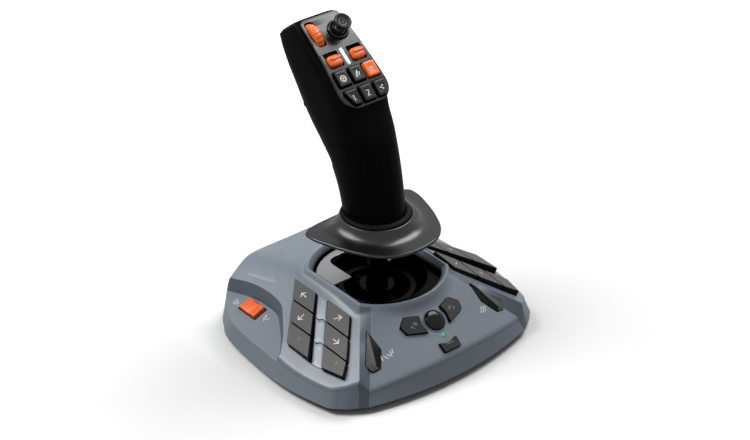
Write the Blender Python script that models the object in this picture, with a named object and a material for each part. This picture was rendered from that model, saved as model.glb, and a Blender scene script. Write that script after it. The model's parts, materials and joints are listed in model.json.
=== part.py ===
"""Joystick of the vehicle-simulation kind: a low wide base with key clusters, a two-axis
gimbal in a round bowl, a flared hand rest and an upright grip with a thumb panel.

Metres, +Z up, +Y away from the user. The origin is under the middle of the base, on the desk.
"""

import math

import bmesh
import bpy
from mathutils import Matrix, Vector
from mathutils.bvhtree import BVHTree

MM = 0.001

# ---- clearances ----
SEAT_GAP = 0.3 * MM  # between pieces that touch
KEY_GAP = 0.45 * MM  # each side of a key in its opening
RUN_GAP = 0.4 * MM  # each side of a turning pin or wheel

# ---- base outline in plan, at the lower edge of the shell (right half) ----
BASE_FRONT = 105.6 * MM
BASE_BACK = 105.6 * MM
BASE_HALF_WIDTH = 112.0 * MM
BASE_WIDEST_Y = -25.0 * MM
CORNER_IN = (79.3 * MM, -93.9 * MM)
CORNER_OUT = (86.0 * MM, -90.0 * MM)
FRONT_SIDE_POINTS = ((96.5 * MM, -82.2 * MM), (104.8 * MM, -69.4 * MM))
BACK_SIDE_POINTS = ((107.6 * MM, 39.0 * MM), (98.0 * MM, 62.5 * MM), (84.0 * MM, 80.5 * MM),
                    (57.0 * MM, 97.0 * MM))

# ---- base heights ----
SHELL_BOTTOM = 5.0 * MM
SHELL_WALL = 2.6 * MM
FRONT_DRAFT = 4.6 * MM  # how far the wall leans in, by its top edge
SIDE_DRAFT = 6.5 * MM
CORNER_DRAFT = 4.5 * MM  # at the back corners, where the wall is steepest
BACK_DRAFT = 22.5 * MM
BACK_DRAFT_START_Y = 79.0 * MM
SHOULDER = 2.0 * MM  # rounding between the wall and the top

# ---- bowl ----
BOWL_Y = -8.5 * MM
BOWL_RADIUS = 50.0 * MM
BOWL_FLAT = 10.5 * MM  # how far the flat sides of the opening lie inside its circle
RIM_Z = 55.4 * MM
RIM_TOP_RADIUS = BOWL_RADIUS + 3.0 * MM
RIM_OUTER_RADIUS = RIM_TOP_RADIUS + 2.6 * MM
VALLEY_RADIUS = RIM_OUTER_RADIUS + 2.4 * MM
VALLEY_Z = 50.6 * MM
SKIRT_BOTTOM = 49.4 * MM

# ---- facets of the top ----
CHEEK_X = 70.5 * MM
CHEEK_Y = -42.85 * MM
CHEEK_Z = 36.4 * MM
CHEEK_SLOPE = 0.49  # rise towards the bowl
CHEEK_RISE = 0.108  # rise towards the back, as far as the bend
CHEEK_BEND_Y = -14.0 * MM
CHEEK_BACK_RISE = 0.03
FRONT_SLOPE = 0.715
FRONT_START = 52.5 * MM  # the front facet leaves the valley's height at this radius
FRONT_STRETCH = 0.75  # the front facet falls off less to the sides
BACK_Z = 52.5 * MM
BACK_Y = 40.0 * MM
BACK_SLOPE = 0.12
FACET_BLEND = 1.5 * MM
CREASE_IN_ANGLE = math.radians(-45.5)  # crease at the rim, about the bowl's middle
CREASE_OUT_ANGLE = math.radians(-37.5)

# ---- side recess that holds the rocker (left side; mirrored on the right) ----
RECESS_X = -75.0 * MM
RECESS_Z = 30.0 * MM
RECESS_SLOPE = 0.385
RECESS_OUTLINE = (
    (-140.0 * MM, -22.0 * MM),
    (-103.0 * MM, -18.5 * MM),
    (-91.4 * MM, -6.0 * MM),
    (-80.5 * MM, 10.0 * MM),
    (-76.6 * MM, 17.0 * MM),
    (-75.0 * MM, 26.0 * MM),
    (-75.0 * MM, 40.0 * MM),
    (-77.5 * MM, 57.0 * MM),
    (-82.5 * MM, 74.5 * MM),
    (-85.0 * MM, 95.0 * MM),
    (-90.0 * MM, 125.0 * MM),
    (-140.0 * MM, 125.0 * MM),
)
RECESS_TOP = 80.0 * MM
SIDE_ROCKER_PLAN = (-84.7 * MM, 41.4 * MM)
SIDE_ROCKER_SIZE = (12.5 * MM, 20.5 * MM)
SIDE_ROCKER_RISE = 3.2 * MM
SIDE_ROCKER_DEPTH = 4.0 * MM
SIDE_ROCKER_PIVOT = 2.2 * MM  # below the recess floor

# ---- keys of the two clusters: slanted keys, three to a column ----
KEY_LENGTH = 25.6 * MM
KEY_ROW = 15.6 * MM  # row pitch, down the slope
KEY_SLANT = 14.4 * MM  # how far a row shifts to the front
KEY_RISE = 2.0 * MM
KEY_DEPTH = 4.5 * MM
KEY_SPLIT = 0.9 * MM  # gap between neighbouring keys
OUTER_COLUMN_Y = 0.0 * MM  # plan place of the columns' own frames
INNER_COLUMN_Y = -42.85 * MM
OUTER_COLUMN_CORNER = (18.9 * MM, 24.9 * MM)  # top back corner in that frame
INNER_COLUMN_CORNER = (21.4 * MM, 29.1 * MM)
LAST_KEY_CUT = (-14.6 * MM, -28.6 * MM)  # the inner column's last key stops at this corner

# ---- front keys, as plan outlines of the left one of each pair ----
WING_KEY = ((-52.0, -58.5), (-68.5, -76.5), (-66.5, -82.5), (-59.5, -83.5), (-50.8, -73.5))
MENU_KEY = ((-22.0, -65.6), (-10.2, -69.6), (-12.3, -75.0), (-10.8, -81.8), (-27.6, -76.0),
            (-29.2, -70.0))
MODE_KEY = ((-8.3, -90.9), (-4.2, -92.3), (0.0, -92.8), (4.2, -92.3), (8.3, -90.9), (8.0, -97.6),
            (-8.0, -97.6))
FRONT_KEY_RISE = 1.4 * MM
FRONT_KEY_DEPTH = 5.0 * MM
HOME_PLAN = (0.0, -76.4 * MM)
HOME_RADIUS = 8.2 * MM
HOME_RISE = 2.4 * MM
HOME_DEPTH = 5.0 * MM
LENS_PLAN = (0.0, -87.0 * MM)
LENS_RADIUS = 1.5 * MM
LENS_RISE = 0.3 * MM
LENS_DEPTH = 4.0 * MM

# ---- bottom cover, feet, board, cable inlet ----
COVER_BOTTOM = 1.5 * MM
COVER_INSET = 1.3 * MM
COVER_TAPER = 4.0 * MM
FOOT_RADIUS = 9.0 * MM
FOOT_PLACES = ((-74.0, -62.0), (74.0, -62.0), (-66.0, 66.0), (66.0, 66.0))
BOARD_SIZE = (120.0 * MM, 26.0 * MM, 1.6 * MM)
BOARD_Y = 62.0 * MM
BOARD_BOSS_RADIUS = 3.0 * MM
BOARD_BOSS_HEIGHT = 4.0 * MM
BOARD_BOSS_PLACES = ((-50.0, 54.0), (50.0, 54.0), (-50.0, 70.0), (50.0, 70.0))
INLET_RADIUS = 5.0 * MM
INLET_BORE = 2.2 * MM
INLET_LENGTH = 14.0 * MM
INLET_Z = 14.0 * MM

# ---- gimbal ----
PIVOT_Z = 34.0 * MM
PLATE_THICKNESS = 1.6 * MM
HOUSING_RADIUS = BOWL_RADIUS - 8.0 * MM
HOUSING_WALL = 2.5 * MM
HOUSING_FLOOR = 2.5 * MM
HOUSING_TOP = SKIRT_BOTTOM - PLATE_THICKNESS - 2 * SEAT_GAP
FLANGE_RADIUS = BOWL_RADIUS + 1.0 * MM  # the housing's top flange closes the bowl under the rim
FLANGE_THICKNESS = 2.0 * MM
PITCH_PIN_RADIUS = 3.0 * MM
ROLL_PIN_RADIUS = 2.5 * MM
YOKE_RADIUS = HOUSING_RADIUS - 11.0 * MM
YOKE_INNER = YOKE_RADIUS - 5.0 * MM
YOKE_HALF_HEIGHT = 5.0 * MM
CRADLE_RADIUS = 14.0 * MM
CRADLE_HALF_HEIGHT = 6.5 * MM
SHAFT_RADIUS = 8.5 * MM
SHAFT_BORE = 6.0 * MM
SHAFT_BOTTOM = 12.5 * MM
SHAFT_TOP = 112.0 * MM
SPRING_SEAT_RADIUS = 14.0 * MM
SPRING_SEAT_THICKNESS = 1.8 * MM
SPRING_RADIUS = 11.4 * MM
SPRING_WIRE = 1.0 * MM  # radius of the wire
SPRING_TURNS = 3.5
PLATE_RADIUS = BOWL_RADIUS - 2.5 * MM
PLATE_FLAT = BOWL_FLAT - 2.0 * MM
PLATE_FRONT_Y = 0.0 * MM
PLATE_CUT_HALF = 18.5 * MM
PLATE_CUT_BACK_Y = 32.0 * MM
PLATE_CUT_ROUND = 8.0 * MM

# ---- hand rest, right half of its edge from back to front ----
REST_BACK = 20.5 * MM
REST_FRONT = 59.3 * MM
REST_HALF_WIDTH = 53.4 * MM
REST_POINTS = ((36.0, 20.0), (51.0, 15.5), (53.4, 6.0), (49.3, -10.5), (42.6, -28.5), (33.0, -45.5),
               (19.0, -56.3))
REST_Z = 96.0 * MM
REST_EDGE = 3.4 * MM
REST_COLLAR_RADIUS = 28.6 * MM
REST_COLLAR_TOP = 104.0 * MM
REST_FLOOR = 3.0 * MM
REST_Y = -7.9 * MM
BUSH_RADIUS = 12.0 * MM
COLLAR_RADIUS = 27.0 * MM
COLLAR_TOP = 106.4 * MM

# ---- grip sections: front and back points in side view (y, z), half width, and the squareness
# ---- of the front half and of the back half
GRIP_BOTTOM = 98.2 * MM
GRIP_SECTIONS = (
    ((-31.6, 98.2), (15.8, 98.2), 23.7, 2.0, 2.0),
    ((-29.3, 109.8), (19.2, 104.0), 23.7, 2.0, 2.0),
    ((-25.0, 131.0), (23.0, 121.5), 24.3, 2.1, 2.1),
    ((-20.3, 152.0), (30.0, 136.5), 24.6, 2.2, 2.2),
    ((-13.8, 172.0), (40.0, 151.0), 24.7, 2.5, 2.4),
    ((-3.0, 187.5), (51.0, 163.5), 24.7, 3.6, 2.6),
    ((4.4, 198.8), (60.5, 176.0), 24.6, 5.5, 2.8),
    ((16.6, 210.6), (69.5, 191.5), 24.5, 7.0, 3.0),
    ((33.9, 224.4), (78.5, 206.5), 24.0, 7.5, 3.2),
    ((49.5, 235.4), (84.5, 217.0), 23.0, 7.5, 3.2),
    ((61.4, 243.2), (87.3, 224.2), 21.8, 7.0, 3.2),
    ((63.6, 244.2), (86.9, 226.6), 19.8, 5.0, 3.0),
)
GRIP_WALL = 2.6 * MM
GRIP_POINTS = 40
SPLIT_HALF = 0.15 * MM
COVER_REGION = ((40.0, 148.0), (25.5, 155.0), (12.0, 164.0), (0.0, 167.0), (-7.5, 163.5),
                (-12.0, 155.0), (-13.6, 141.0), (-17.5, 118.0), (-19.0, 108.5), (60.0, 108.5),
                (70.0, 148.0))
COVER_THICKNESS = 1.3 * MM
SCREW_PLACES = ((72.0, 203.0), (51.5, 180.5))
SCREW_HEAD = 2.4 * MM
SCREW_SINK = 2.6 * MM

# ---- thumb panel: an arc in side view, measured along it from the light bar's middle ----
PANEL_MIDDLE = (28.3 * MM, 222.7 * MM)
PANEL_TILT = math.radians(37.2)
PANEL_ARC_RADIUS = 320.0 * MM
PANEL_TOP_END = 39.2 * MM
PANEL_BOTTOM_END = -41.0 * MM
PANEL_ROUND_START = -26.0 * MM
PANEL_HALF_TOP = 18.3 * MM
PANEL_HALF_BOTTOM = 23.2 * MM
PANEL_THICKNESS = 2.0 * MM
PANEL_LEDGE = 1.3 * MM
THUMB_PITCH = 13.6 * MM
THUMB_ROWS = (-16.0 * MM, -32.3 * MM)
THUMB_SIZE = (11.8 * MM, 13.6 * MM)
THUMB_RISE = 1.6 * MM
THUMB_DEPTH = 4.0 * MM
ROCKER_X = 10.9 * MM
ROCKER_S = 0.6 * MM
ROCKER_SIZE = (12.4 * MM, 13.0 * MM)
ROCKER_RISE = 3.6 * MM
ROCKER_DEPTH = 4.0 * MM
BAR_SIZE = (2.6 * MM, 14.4 * MM)
BAR_RISE = 0.4 * MM
WHEEL_X = -12.2 * MM
WHEEL_S = 25.0 * MM
WHEEL_RADIUS = 12.6 * MM
WHEEL_WIDTH = 7.0 * MM
WHEEL_RISE = 4.4 * MM
WHEEL_RIBS = 20
WHEEL_RIB_DEPTH = 0.5 * MM
AXLE_RADIUS = 1.4 * MM
STICK_X = 7.8 * MM
STICK_S = 22.5 * MM
STICK_SOCKET_RADIUS = 8.6 * MM
STICK_BALL_RADIUS = 4.4 * MM
STICK_CRADLE_WALL = 1.4 * MM
STICK_CAP_RADIUS = 7.0 * MM
STICK_CAP_HEIGHT = 12.6 * MM
STICK_NECK_RADIUS = 2.6 * MM
HANDLE_BOARD_DEPTH = 7.4 * MM
HANDLE_BOARD_HALF = 15.0 * MM
HANDLE_BOARD_SPAN = (-34.0 * MM, 10.0 * MM)
HANDLE_BOARD_THICKNESS = 1.6 * MM
BOARD_POST_RADIUS = 0.9 * MM
BOARD_POST_X = 8.0 * MM
BOARD_POST_ROWS = (-7.5 * MM, 8.9 * MM)

SHELL_COLOR = (0.130, 0.160, 0.200)
BLACK_COLOR = (0.012, 0.012, 0.013)
KEY_COLOR = (0.045, 0.045, 0.047)
ORANGE_COLOR = (0.90, 0.13, 0.015)
SATIN_COLOR = (0.33, 0.34, 0.35)
STEEL_COLOR = (0.42, 0.42, 0.43)
WHITE_COLOR = (0.85, 0.85, 0.85)
GREEN_COLOR = (0.05, 0.75, 0.35)
BOARD_COLOR = (0.02, 0.12, 0.05)
RUBBER_COLOR = (0.02, 0.02, 0.02)


# =============================== scene and helpers ===============================
def clear_scene():
    for obj in list(bpy.data.objects):
        bpy.data.objects.remove(obj, do_unlink=True)


def new_collection(name):
    collection = bpy.data.collections.new(name)
    bpy.context.scene.collection.children.link(collection)
    return collection


def make_material(name, color, roughness, metallic=0.0):
    material = bpy.data.materials.new(name)
    material.use_nodes = True
    shader = material.node_tree.nodes["Principled BSDF"]
    shader.inputs["Base Color"].default_value = (*color, 1.0)
    shader.inputs["Roughness"].default_value = roughness
    shader.inputs["Metallic"].default_value = metallic
    return material


def add_piece(name, bm, material, frame=None):
    """Puts the bmesh in the parts collection as one named object, at its own frame."""
    mesh = bpy.data.meshes.new(name)
    bmesh.ops.recalc_face_normals(bm, faces=bm.faces)
    bm.to_mesh(mesh)
    bm.free()
    mesh.shade_smooth()
    mesh.set_sharp_from_angle(angle=math.radians(35.0))
    mesh.materials.append(material)
    piece = bpy.data.objects.new(name, mesh)
    PARTS.objects.link(piece)
    if frame is not None:
        piece.matrix_world = frame
    return piece


def add_cutter(name, bm, frame=None):
    mesh = bpy.data.meshes.new(name)
    bmesh.ops.recalc_face_normals(bm, faces=bm.faces)
    bm.to_mesh(mesh)
    bm.free()
    cutter = bpy.data.objects.new(name, mesh)
    CUTTERS.objects.link(cutter)
    cutter.hide_render = True
    cutter.display_type = "WIRE"
    if frame is not None:
        cutter.matrix_world = frame
    return cutter


def boolean(piece, other, operation="DIFFERENCE"):
    modifier = piece.modifiers.new(other.name, "BOOLEAN")
    modifier.operation = operation
    modifier.object = other
    modifier.solver = "EXACT"
    return modifier


def smooth_path(points, steps):
    """Catmull-Rom curve through the points, with this many steps in each span."""
    padded = [points[0]] + list(points) + [points[-1]]
    found = []
    for i in range(len(points) - 1):
        a, b, c, d = (Vector(p) for p in padded[i : i + 4])
        for k in range(steps):
            t = k / steps
            found.append(
                0.5 * ((2 * b) + (c - a) * t + (2 * a - 5 * b + 4 * c - d) * t**2
                       + (3 * b - a - 3 * c + d) * t**3)
            )
    found.append(Vector(points[-1]))
    return found


def loft(rings, closed=False):
    """Skin through rings of equal length. An open loft has its two ends capped."""
    bm = bmesh.new()
    rows = [[bm.verts.new(p) for p in ring] for ring in rings]
    count = len(rows[0])
    pairs = list(zip(rows, rows[1:]))
    if closed:
        pairs.append((rows[-1], rows[0]))
    for low, high in pairs:
        for i in range(count):
            j = (i + 1) % count
            bm.faces.new((low[i], low[j], high[j], high[i]))
    if not closed:
        bm.faces.new(rows[0])
        bm.faces.new(rows[-1])
    return bm


def prism(outline, bottom, top):
    """Flat outline (x, y) extruded from bottom to top, both plain heights or rules of (x, y)."""
    low = bottom if callable(bottom) else (lambda x, y: bottom)
    high = top if callable(top) else (lambda x, y: top)
    rings = ([(x, y, low(x, y)) for x, y in outline], [(x, y, high(x, y)) for x, y in outline])
    return loft(rings)


def box(size, middle=(0.0, 0.0, 0.0)):
    bm = bmesh.new()
    bmesh.ops.create_cube(bm, size=1.0)
    bmesh.ops.scale(bm, vec=size, verts=bm.verts)
    bmesh.ops.translate(bm, vec=middle, verts=bm.verts)
    return bm


def cylinder(radius, bottom, top, sides=32, top_radius=None):
    bm = bmesh.new()
    end = radius if top_radius is None else top_radius
    bmesh.ops.create_cone(
        bm, cap_ends=True, segments=sides, radius1=radius, radius2=end, depth=top - bottom
    )
    bmesh.ops.translate(bm, vec=(0, 0, (top + bottom) / 2), verts=bm.verts)
    return bm


def turned(profile, steps=40):
    """Closed profile of (radius, height) points spun about Z into a ring-shaped solid."""
    rings = []
    for k in range(steps):
        angle = 2 * math.pi * k / steps
        rings.append([(r * math.cos(angle), r * math.sin(angle), z) for r, z in profile])
    return loft(rings, closed=True)


def scaled(points):
    return [(x * MM, y * MM) for x, y in points]


def inset_outline(outline, amount):
    """Moves each edge of a closed outline inwards by the amount (outwards if negative)."""
    count = len(outline)
    area = sum(outline[i][0] * outline[(i + 1) % count][1]
               - outline[(i + 1) % count][0] * outline[i][1] for i in range(count))
    turn = 1.0 if area > 0 else -1.0
    found = []
    for i in range(count):
        before = Vector(outline[i]) - Vector(outline[i - 1])
        after = Vector(outline[(i + 1) % count]) - Vector(outline[i])
        first = Vector((-before.y, before.x)).normalized() * turn
        second = Vector((-after.y, after.x)).normalized() * turn
        bisector = (first + second) / (1.0 + first.dot(second))
        found.append(tuple(Vector(outline[i]) + bisector * amount))
    return found


def rounded_rectangle(width, length, radius, steps=3):
    found = []
    corners = ((1, 1, 0), (-1, 1, 90), (-1, -1, 180), (1, -1, 270))
    for sx, sy, start in corners:
        cx, cy = sx * (width / 2 - radius), sy * (length / 2 - radius)
        for k in range(steps + 1):
            angle = math.radians(start + 90.0 * k / steps)
            found.append((cx + radius * math.cos(angle), cy + radius * math.sin(angle)))
    return found


def mirrored(outline):
    return [(-x, y) for x, y in reversed(outline)]


# =============================== shape of the base ===============================
def soft_min(*heights):
    low = min(heights)
    return low - FACET_BLEND * math.log(sum(math.exp((low - h) / FACET_BLEND) for h in heights))


def cheek_height(x, y):
    front_part = CHEEK_RISE * (min(y, CHEEK_BEND_Y) - CHEEK_Y)
    back_part = CHEEK_BACK_RISE * max(y - CHEEK_BEND_Y, 0.0)
    return CHEEK_Z + CHEEK_SLOPE * (CHEEK_X - abs(x)) + front_part + back_part


def front_height(x, y):
    reach = math.hypot(FRONT_STRETCH * x, y - BOWL_Y)
    return VALLEY_Z - FRONT_SLOPE * (reach - FRONT_START)


def top_height(x, y, front):
    """Height of the shell's top facets over a place in plan."""
    if front:
        return min(front_height(x, y), VALLEY_Z)
    plateau = BACK_Z - BACK_SLOPE * (y - BACK_Y)
    return soft_min(cheek_height(x, y), plateau, BACK_Z)


def half_foot():
    """Right half of the shell's lower edge from the front middle to the back middle."""
    chord, rise = CORNER_IN[0], CORNER_IN[1] + BASE_FRONT
    radius = (chord**2 + rise**2) / (2 * rise)
    front_steps = 6
    front = []
    for k in range(front_steps + 1):
        x = chord * k / front_steps
        front.append((x, -BASE_FRONT + radius - math.sqrt(radius**2 - x**2), True))
    side_points = [CORNER_OUT, *FRONT_SIDE_POINTS, (BASE_HALF_WIDTH, BASE_WIDEST_Y),
                   *BACK_SIDE_POINTS, (0.0, BASE_BACK)]
    side = [(p.x, p.y, False) for p in smooth_path(side_points, 3)]
    return front + side


def foot_stations():
    """All stations of the lower edge, counter-clockwise from the front middle."""
    right = half_foot()
    left = [(-x, y, front) for x, y, front in reversed(right[1:-1])]
    return right + left


def wall_draft(y, front):
    if front:
        return FRONT_DRAFT
    if y > BACK_DRAFT_START_Y:
        share = (y - BACK_DRAFT_START_Y) / (BASE_BACK - BACK_DRAFT_START_Y)
        return CORNER_DRAFT + (BACK_DRAFT - CORNER_DRAFT) * share
    if y > 0:
        return SIDE_DRAFT + (CORNER_DRAFT - SIDE_DRAFT) * y / BACK_DRAFT_START_Y
    near_corner = min((y - CORNER_OUT[1]) / abs(CORNER_OUT[1]), 1.0)
    return FRONT_DRAFT + (SIDE_DRAFT - FRONT_DRAFT) * near_corner


def rim_angle(x, y, front):
    """Where a station's line meets the rim; lines crowd together at the crease."""
    angle = math.atan2(y - BOWL_Y, abs(x))
    inner = math.atan2(CORNER_IN[1] - BOWL_Y, CORNER_IN[0])
    outer = math.atan2(CORNER_OUT[1] - BOWL_Y, CORNER_OUT[0])
    quarter = math.pi / 2
    if front:
        share = (angle + quarter) / (inner + quarter)
        angle = -quarter + share * (CREASE_IN_ANGLE + quarter)
    else:
        share = (angle - outer) / (quarter - outer)
        angle = CREASE_OUT_ANGLE + share * (quarter - CREASE_OUT_ANGLE)
    return angle if x >= 0 else math.pi - angle


def bowl_point(way, radius, flat=BOWL_FLAT):
    """Plan point of the bowl's edge in a direction: a circle with a flat on either side."""
    x = max(min(way[0] * radius, radius - flat), flat - radius)
    return (x, BOWL_Y + way[1] * radius)


def shell_rings(wall=0.0):
    """Rings of the top shell's outer skin, or of its hollow when a wall is given."""
    stations = foot_stations()
    plan = [(x, y) for x, y, _ in stations]
    low = inset_outline(plan, wall)
    drop = 1.15 * wall
    rings = {name: [] for name in ("foot", "wall", "shoulder", "a", "b", "c", "valley")}
    circles = []
    for (x, y, front), inner in zip(stations, low):
        reach = Vector((0.0, BOWL_Y)) - Vector((x, y))
        inward = reach.normalized()
        spot = Vector(inner) + inward * wall_draft(y, front)
        angle = rim_angle(x, y, front)
        ring_way = (math.cos(angle), math.sin(angle))
        valley = Vector(bowl_point(ring_way, VALLEY_RADIUS - 0.6 * wall))
        shoulder = spot + inward * SHOULDER
        edge_z = top_height(spot.x, spot.y, front) - drop
        rings["foot"].append((inner[0], inner[1], SHELL_BOTTOM - 3 * wall))
        rings["wall"].append((spot.x, spot.y, edge_z - SHOULDER))
        rings["shoulder"].append((*shoulder, top_height(*shoulder, front) - drop))
        for name, share in (("a", 0.3), ("b", 0.6), ("c", 0.85)):
            place = shoulder.lerp(valley, share)
            rings[name].append((*place, top_height(*place, front) - drop))
        valley_z = min(top_height(*valley, front), VALLEY_Z)
        rings["valley"].append((*valley, valley_z - drop))
        circles.append(ring_way)
    if wall:
        bore = BOWL_RADIUS + wall
        shape = ((RIM_TOP_RADIUS + 0.3 * wall, RIM_Z - 1.7 * wall), (bore, RIM_Z - 1.7 * wall),
                 (bore, SKIRT_BOTTOM + 0.2 * wall))
    else:
        shape = ((RIM_OUTER_RADIUS, RIM_Z - 1.2 * MM), (RIM_TOP_RADIUS, RIM_Z),
                 (BOWL_RADIUS + 0.8 * MM, RIM_Z - 1.4 * MM), (BOWL_RADIUS, RIM_Z - 3.0 * MM),
                 (BOWL_RADIUS, SKIRT_BOTTOM))
    found = [rings[name] for name in ("foot", "wall", "shoulder", "a", "b", "c", "valley")]
    for radius, z in shape:
        found.append([(*bowl_point(way, radius), z) for way in circles])
    return found


def recess_floor(x, y):
    return RECESS_Z + RECESS_SLOPE * (x - RECESS_X)


def seat_tree():
    """Ray-cast tree of the finished outer skin, to seat keys on it."""
    return BVHTree.FromBMesh(loft(shell_rings()))


def seat_frame(tree, x, y, reach=5.0 * MM):
    """Frame on the shell over a place in plan: its Z is the mean normal, its Y points back."""
    def height(px, py):
        return tree.ray_cast(Vector((px, py, 1.0)), Vector((0, 0, -1)))[0].z

    slope_x = (height(x + reach, y) - height(x - reach, y)) / (2 * reach)
    slope_y = (height(x, y + reach) - height(x, y - reach)) / (2 * reach)
    middle = (height(x + reach, y) + height(x - reach, y) + height(x, y + reach)
              + height(x, y - reach)) / 4
    return plane_frame((x, y, (middle + height(x, y)) / 2), slope_x, slope_y)


def plane_frame(origin, slope_x, slope_y):
    """Frame on a plane of these slopes: Z is its normal and Y lies in it, towards the back."""
    normal = Vector((-slope_x, -slope_y, 1.0)).normalized()
    back = (Vector((0, 1, 0)) - normal * normal.y).normalized()
    side = back.cross(normal)
    frame = Matrix((side, back, normal)).transposed().to_4x4()
    frame.translation = Vector(origin)
    return frame


def to_frame(frame, points):
    """Plan points (x, y) dropped onto the frame's own plane, in its coordinates."""
    normal = frame.col[2].to_3d()
    origin = frame.translation
    inverse = frame.inverted()
    found = []
    for x, y in points:
        z = origin.z - ((x - origin.x) * normal.x + (y - origin.y) * normal.y) / normal.z
        local = inverse @ Vector((x, y, z))
        found.append((local.x, local.y))
    return found


# =============================== base pieces ===============================
def key_solid(outline, rise, depth, chamfer=0.5 * MM):
    """Key with a chamfered top, standing on the plane of its frame."""
    top = inset_outline(outline, chamfer)
    rings = ([(x, y, -depth) for x, y in outline], [(x, y, rise - chamfer) for x, y in outline],
             [(x, y, rise) for x, y in top])
    return loft(rings)


def column_frames(side):
    """Frames of the outer and inner key columns; side is -1 on the left and 1 on the right."""
    x = side * CHEEK_X
    slope_x = -side * CHEEK_SLOPE
    outer = plane_frame((x, OUTER_COLUMN_Y, cheek_height(x, OUTER_COLUMN_Y)), slope_x,
                        CHEEK_BACK_RISE)
    inner = plane_frame((x, INNER_COLUMN_Y, cheek_height(x, INNER_COLUMN_Y)), slope_x, CHEEK_RISE)
    return outer, inner


def column_keys(corner, last_cut=None):
    """Outlines (up the slope, to the back) of a column's three keys and of their opening."""
    up, back = corner
    half = KEY_SPLIT / 2
    slope = KEY_SLANT / KEY_ROW
    keys = []
    for row in range(3):
        u0, v0 = up - row * KEY_ROW - half, back - row * KEY_SLANT - half * slope
        u1, v1 = up - (row + 1) * KEY_ROW + half, back - (row + 1) * KEY_SLANT + half * slope
        outline = [(u0, v0), (u1, v1), (u1, v1 - KEY_LENGTH), (u0, v0 - KEY_LENGTH)]
        if last_cut and row == 2:
            outline = [(u0, v0), (u1, v1), (u1 + 0.4 * (last_cut[0] - u1), v1 - 0.75 * KEY_LENGTH),
                       last_cut, (u0, v0 - KEY_LENGTH)]
        keys.append(outline)
    first, last = keys[0], keys[2]
    opening = [first[0]] + last[1:-1] + ([last[-1], first[3]] if last_cut else [first[3]])
    return keys, opening


def mirror_frame_outline(outline, side):
    """The left cluster is the pattern: on the right the slope direction is reversed."""
    return [(-side * u, v) for u, v in outline][:: 1 if side < 0 else -1]


def build_key_clusters(shell):
    sides = ((-1, "left"), (1, "right"))
    for side, word in sides:
        columns = zip(("outer", "inner"), column_frames(side),
                      (OUTER_COLUMN_CORNER, INNER_COLUMN_CORNER), (None, LAST_KEY_CUT))
        for column, frame, corner, last_cut in columns:
            keys, opening = column_keys(corner, last_cut)
            hole = inset_outline(mirror_frame_outline(opening, side), -KEY_GAP)
            cutter = add_cutter(f"cut_{word}_{column}", prism(hole, -12 * MM, 12 * MM), frame)
            boolean(shell, cutter)
            for row, outline in enumerate(keys):
                solid = key_solid(mirror_frame_outline(outline, side), KEY_RISE, KEY_DEPTH)
                add_piece(f"{word}_{column}_key_{row + 1}", solid, KEY_BLACK, frame)


def front_key(name, shell, tree, points, middle=None):
    """A key of the front slope from its plan outline, seated on the shell at its middle."""
    points = scaled(points)
    count = len(points)
    if middle is None:
        middle = (sum(p[0] for p in points) / count, sum(p[1] for p in points) / count)
    frame = seat_frame(tree, *middle)
    outline = to_frame(frame, points)
    hole = inset_outline(outline, -KEY_GAP)
    boolean(shell, add_cutter(f"cut_{name}", prism(hole, -12 * MM, 9 * MM), frame))
    solid = key_solid(outline, FRONT_KEY_RISE, FRONT_KEY_DEPTH)
    return add_piece(name, solid, KEY_BLACK, frame)


def build_front_keys(shell, tree):
    front_key("left_wing_key", shell, tree, WING_KEY)
    front_key("right_wing_key", shell, tree, mirrored(WING_KEY))
    front_key("left_menu_key", shell, tree, MENU_KEY)
    front_key("right_menu_key", shell, tree, mirrored(MENU_KEY))
    front_key("mode_key", shell, tree, MODE_KEY)

    frame = seat_frame(tree, *HOME_PLAN)
    hole = cylinder(HOME_RADIUS + KEY_GAP, -12 * MM, 9 * MM)
    boolean(shell, add_cutter("cut_home", hole, frame))
    dome = loft([
        [(r * math.cos(a), r * math.sin(a), z) for a in
         (2 * math.pi * k / 32 for k in range(32))]
        for r, z in ((HOME_RADIUS, -HOME_DEPTH), (HOME_RADIUS, 0.0),
                     (0.93 * HOME_RADIUS, 0.45 * HOME_RISE), (0.7 * HOME_RADIUS, 0.8 * HOME_RISE),
                     (0.36 * HOME_RADIUS, HOME_RISE))
    ])
    add_piece("home_button", dome, GLOSS_BLACK, frame)

    frame = seat_frame(tree, *LENS_PLAN)
    hole = cylinder(LENS_RADIUS + SEAT_GAP, -12 * MM, 9 * MM, 16)
    boolean(shell, add_cutter("cut_lens", hole, frame))
    add_piece("status_lens", cylinder(LENS_RADIUS, -LENS_DEPTH, LENS_RISE, 16), GREEN, frame)


def side_rocker_frame(side):
    x, y = SIDE_ROCKER_PLAN
    return plane_frame((-side * x, y, recess_floor(x, y)), -side * RECESS_SLOPE, 0.0)


def build_side_rockers(shell):
    half_u, half_v = SIDE_ROCKER_SIZE[0] / 2, SIDE_ROCKER_SIZE[1] / 2
    profile = [(-half_v, -SIDE_ROCKER_DEPTH), (half_v, -SIDE_ROCKER_DEPTH),
               (half_v, 0.7 * SIDE_ROCKER_RISE), (0.62 * half_v, SIDE_ROCKER_RISE),
               (0.0, 0.5 * SIDE_ROCKER_RISE), (-0.62 * half_v, SIDE_ROCKER_RISE),
               (-half_v, 0.7 * SIDE_ROCKER_RISE)]
    sides = ((-1, "left"), (1, "right"))
    for side, word in sides:
        frame = side_rocker_frame(side)
        swing = 2.2 * KEY_GAP
        hole = rounded_rectangle(2 * (half_u + KEY_GAP), 2 * (half_v + swing), 1.2 * MM)
        boolean(shell, add_cutter(f"cut_{word}_rocker", prism(hole, -9 * MM, 9 * MM), frame))
        rings = [[(sx * half_u, v, h) for v, h in profile] for sx in (-1, 1)]
        add_piece(f"{word}_side_rocker", loft(rings), ORANGE, frame)


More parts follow.
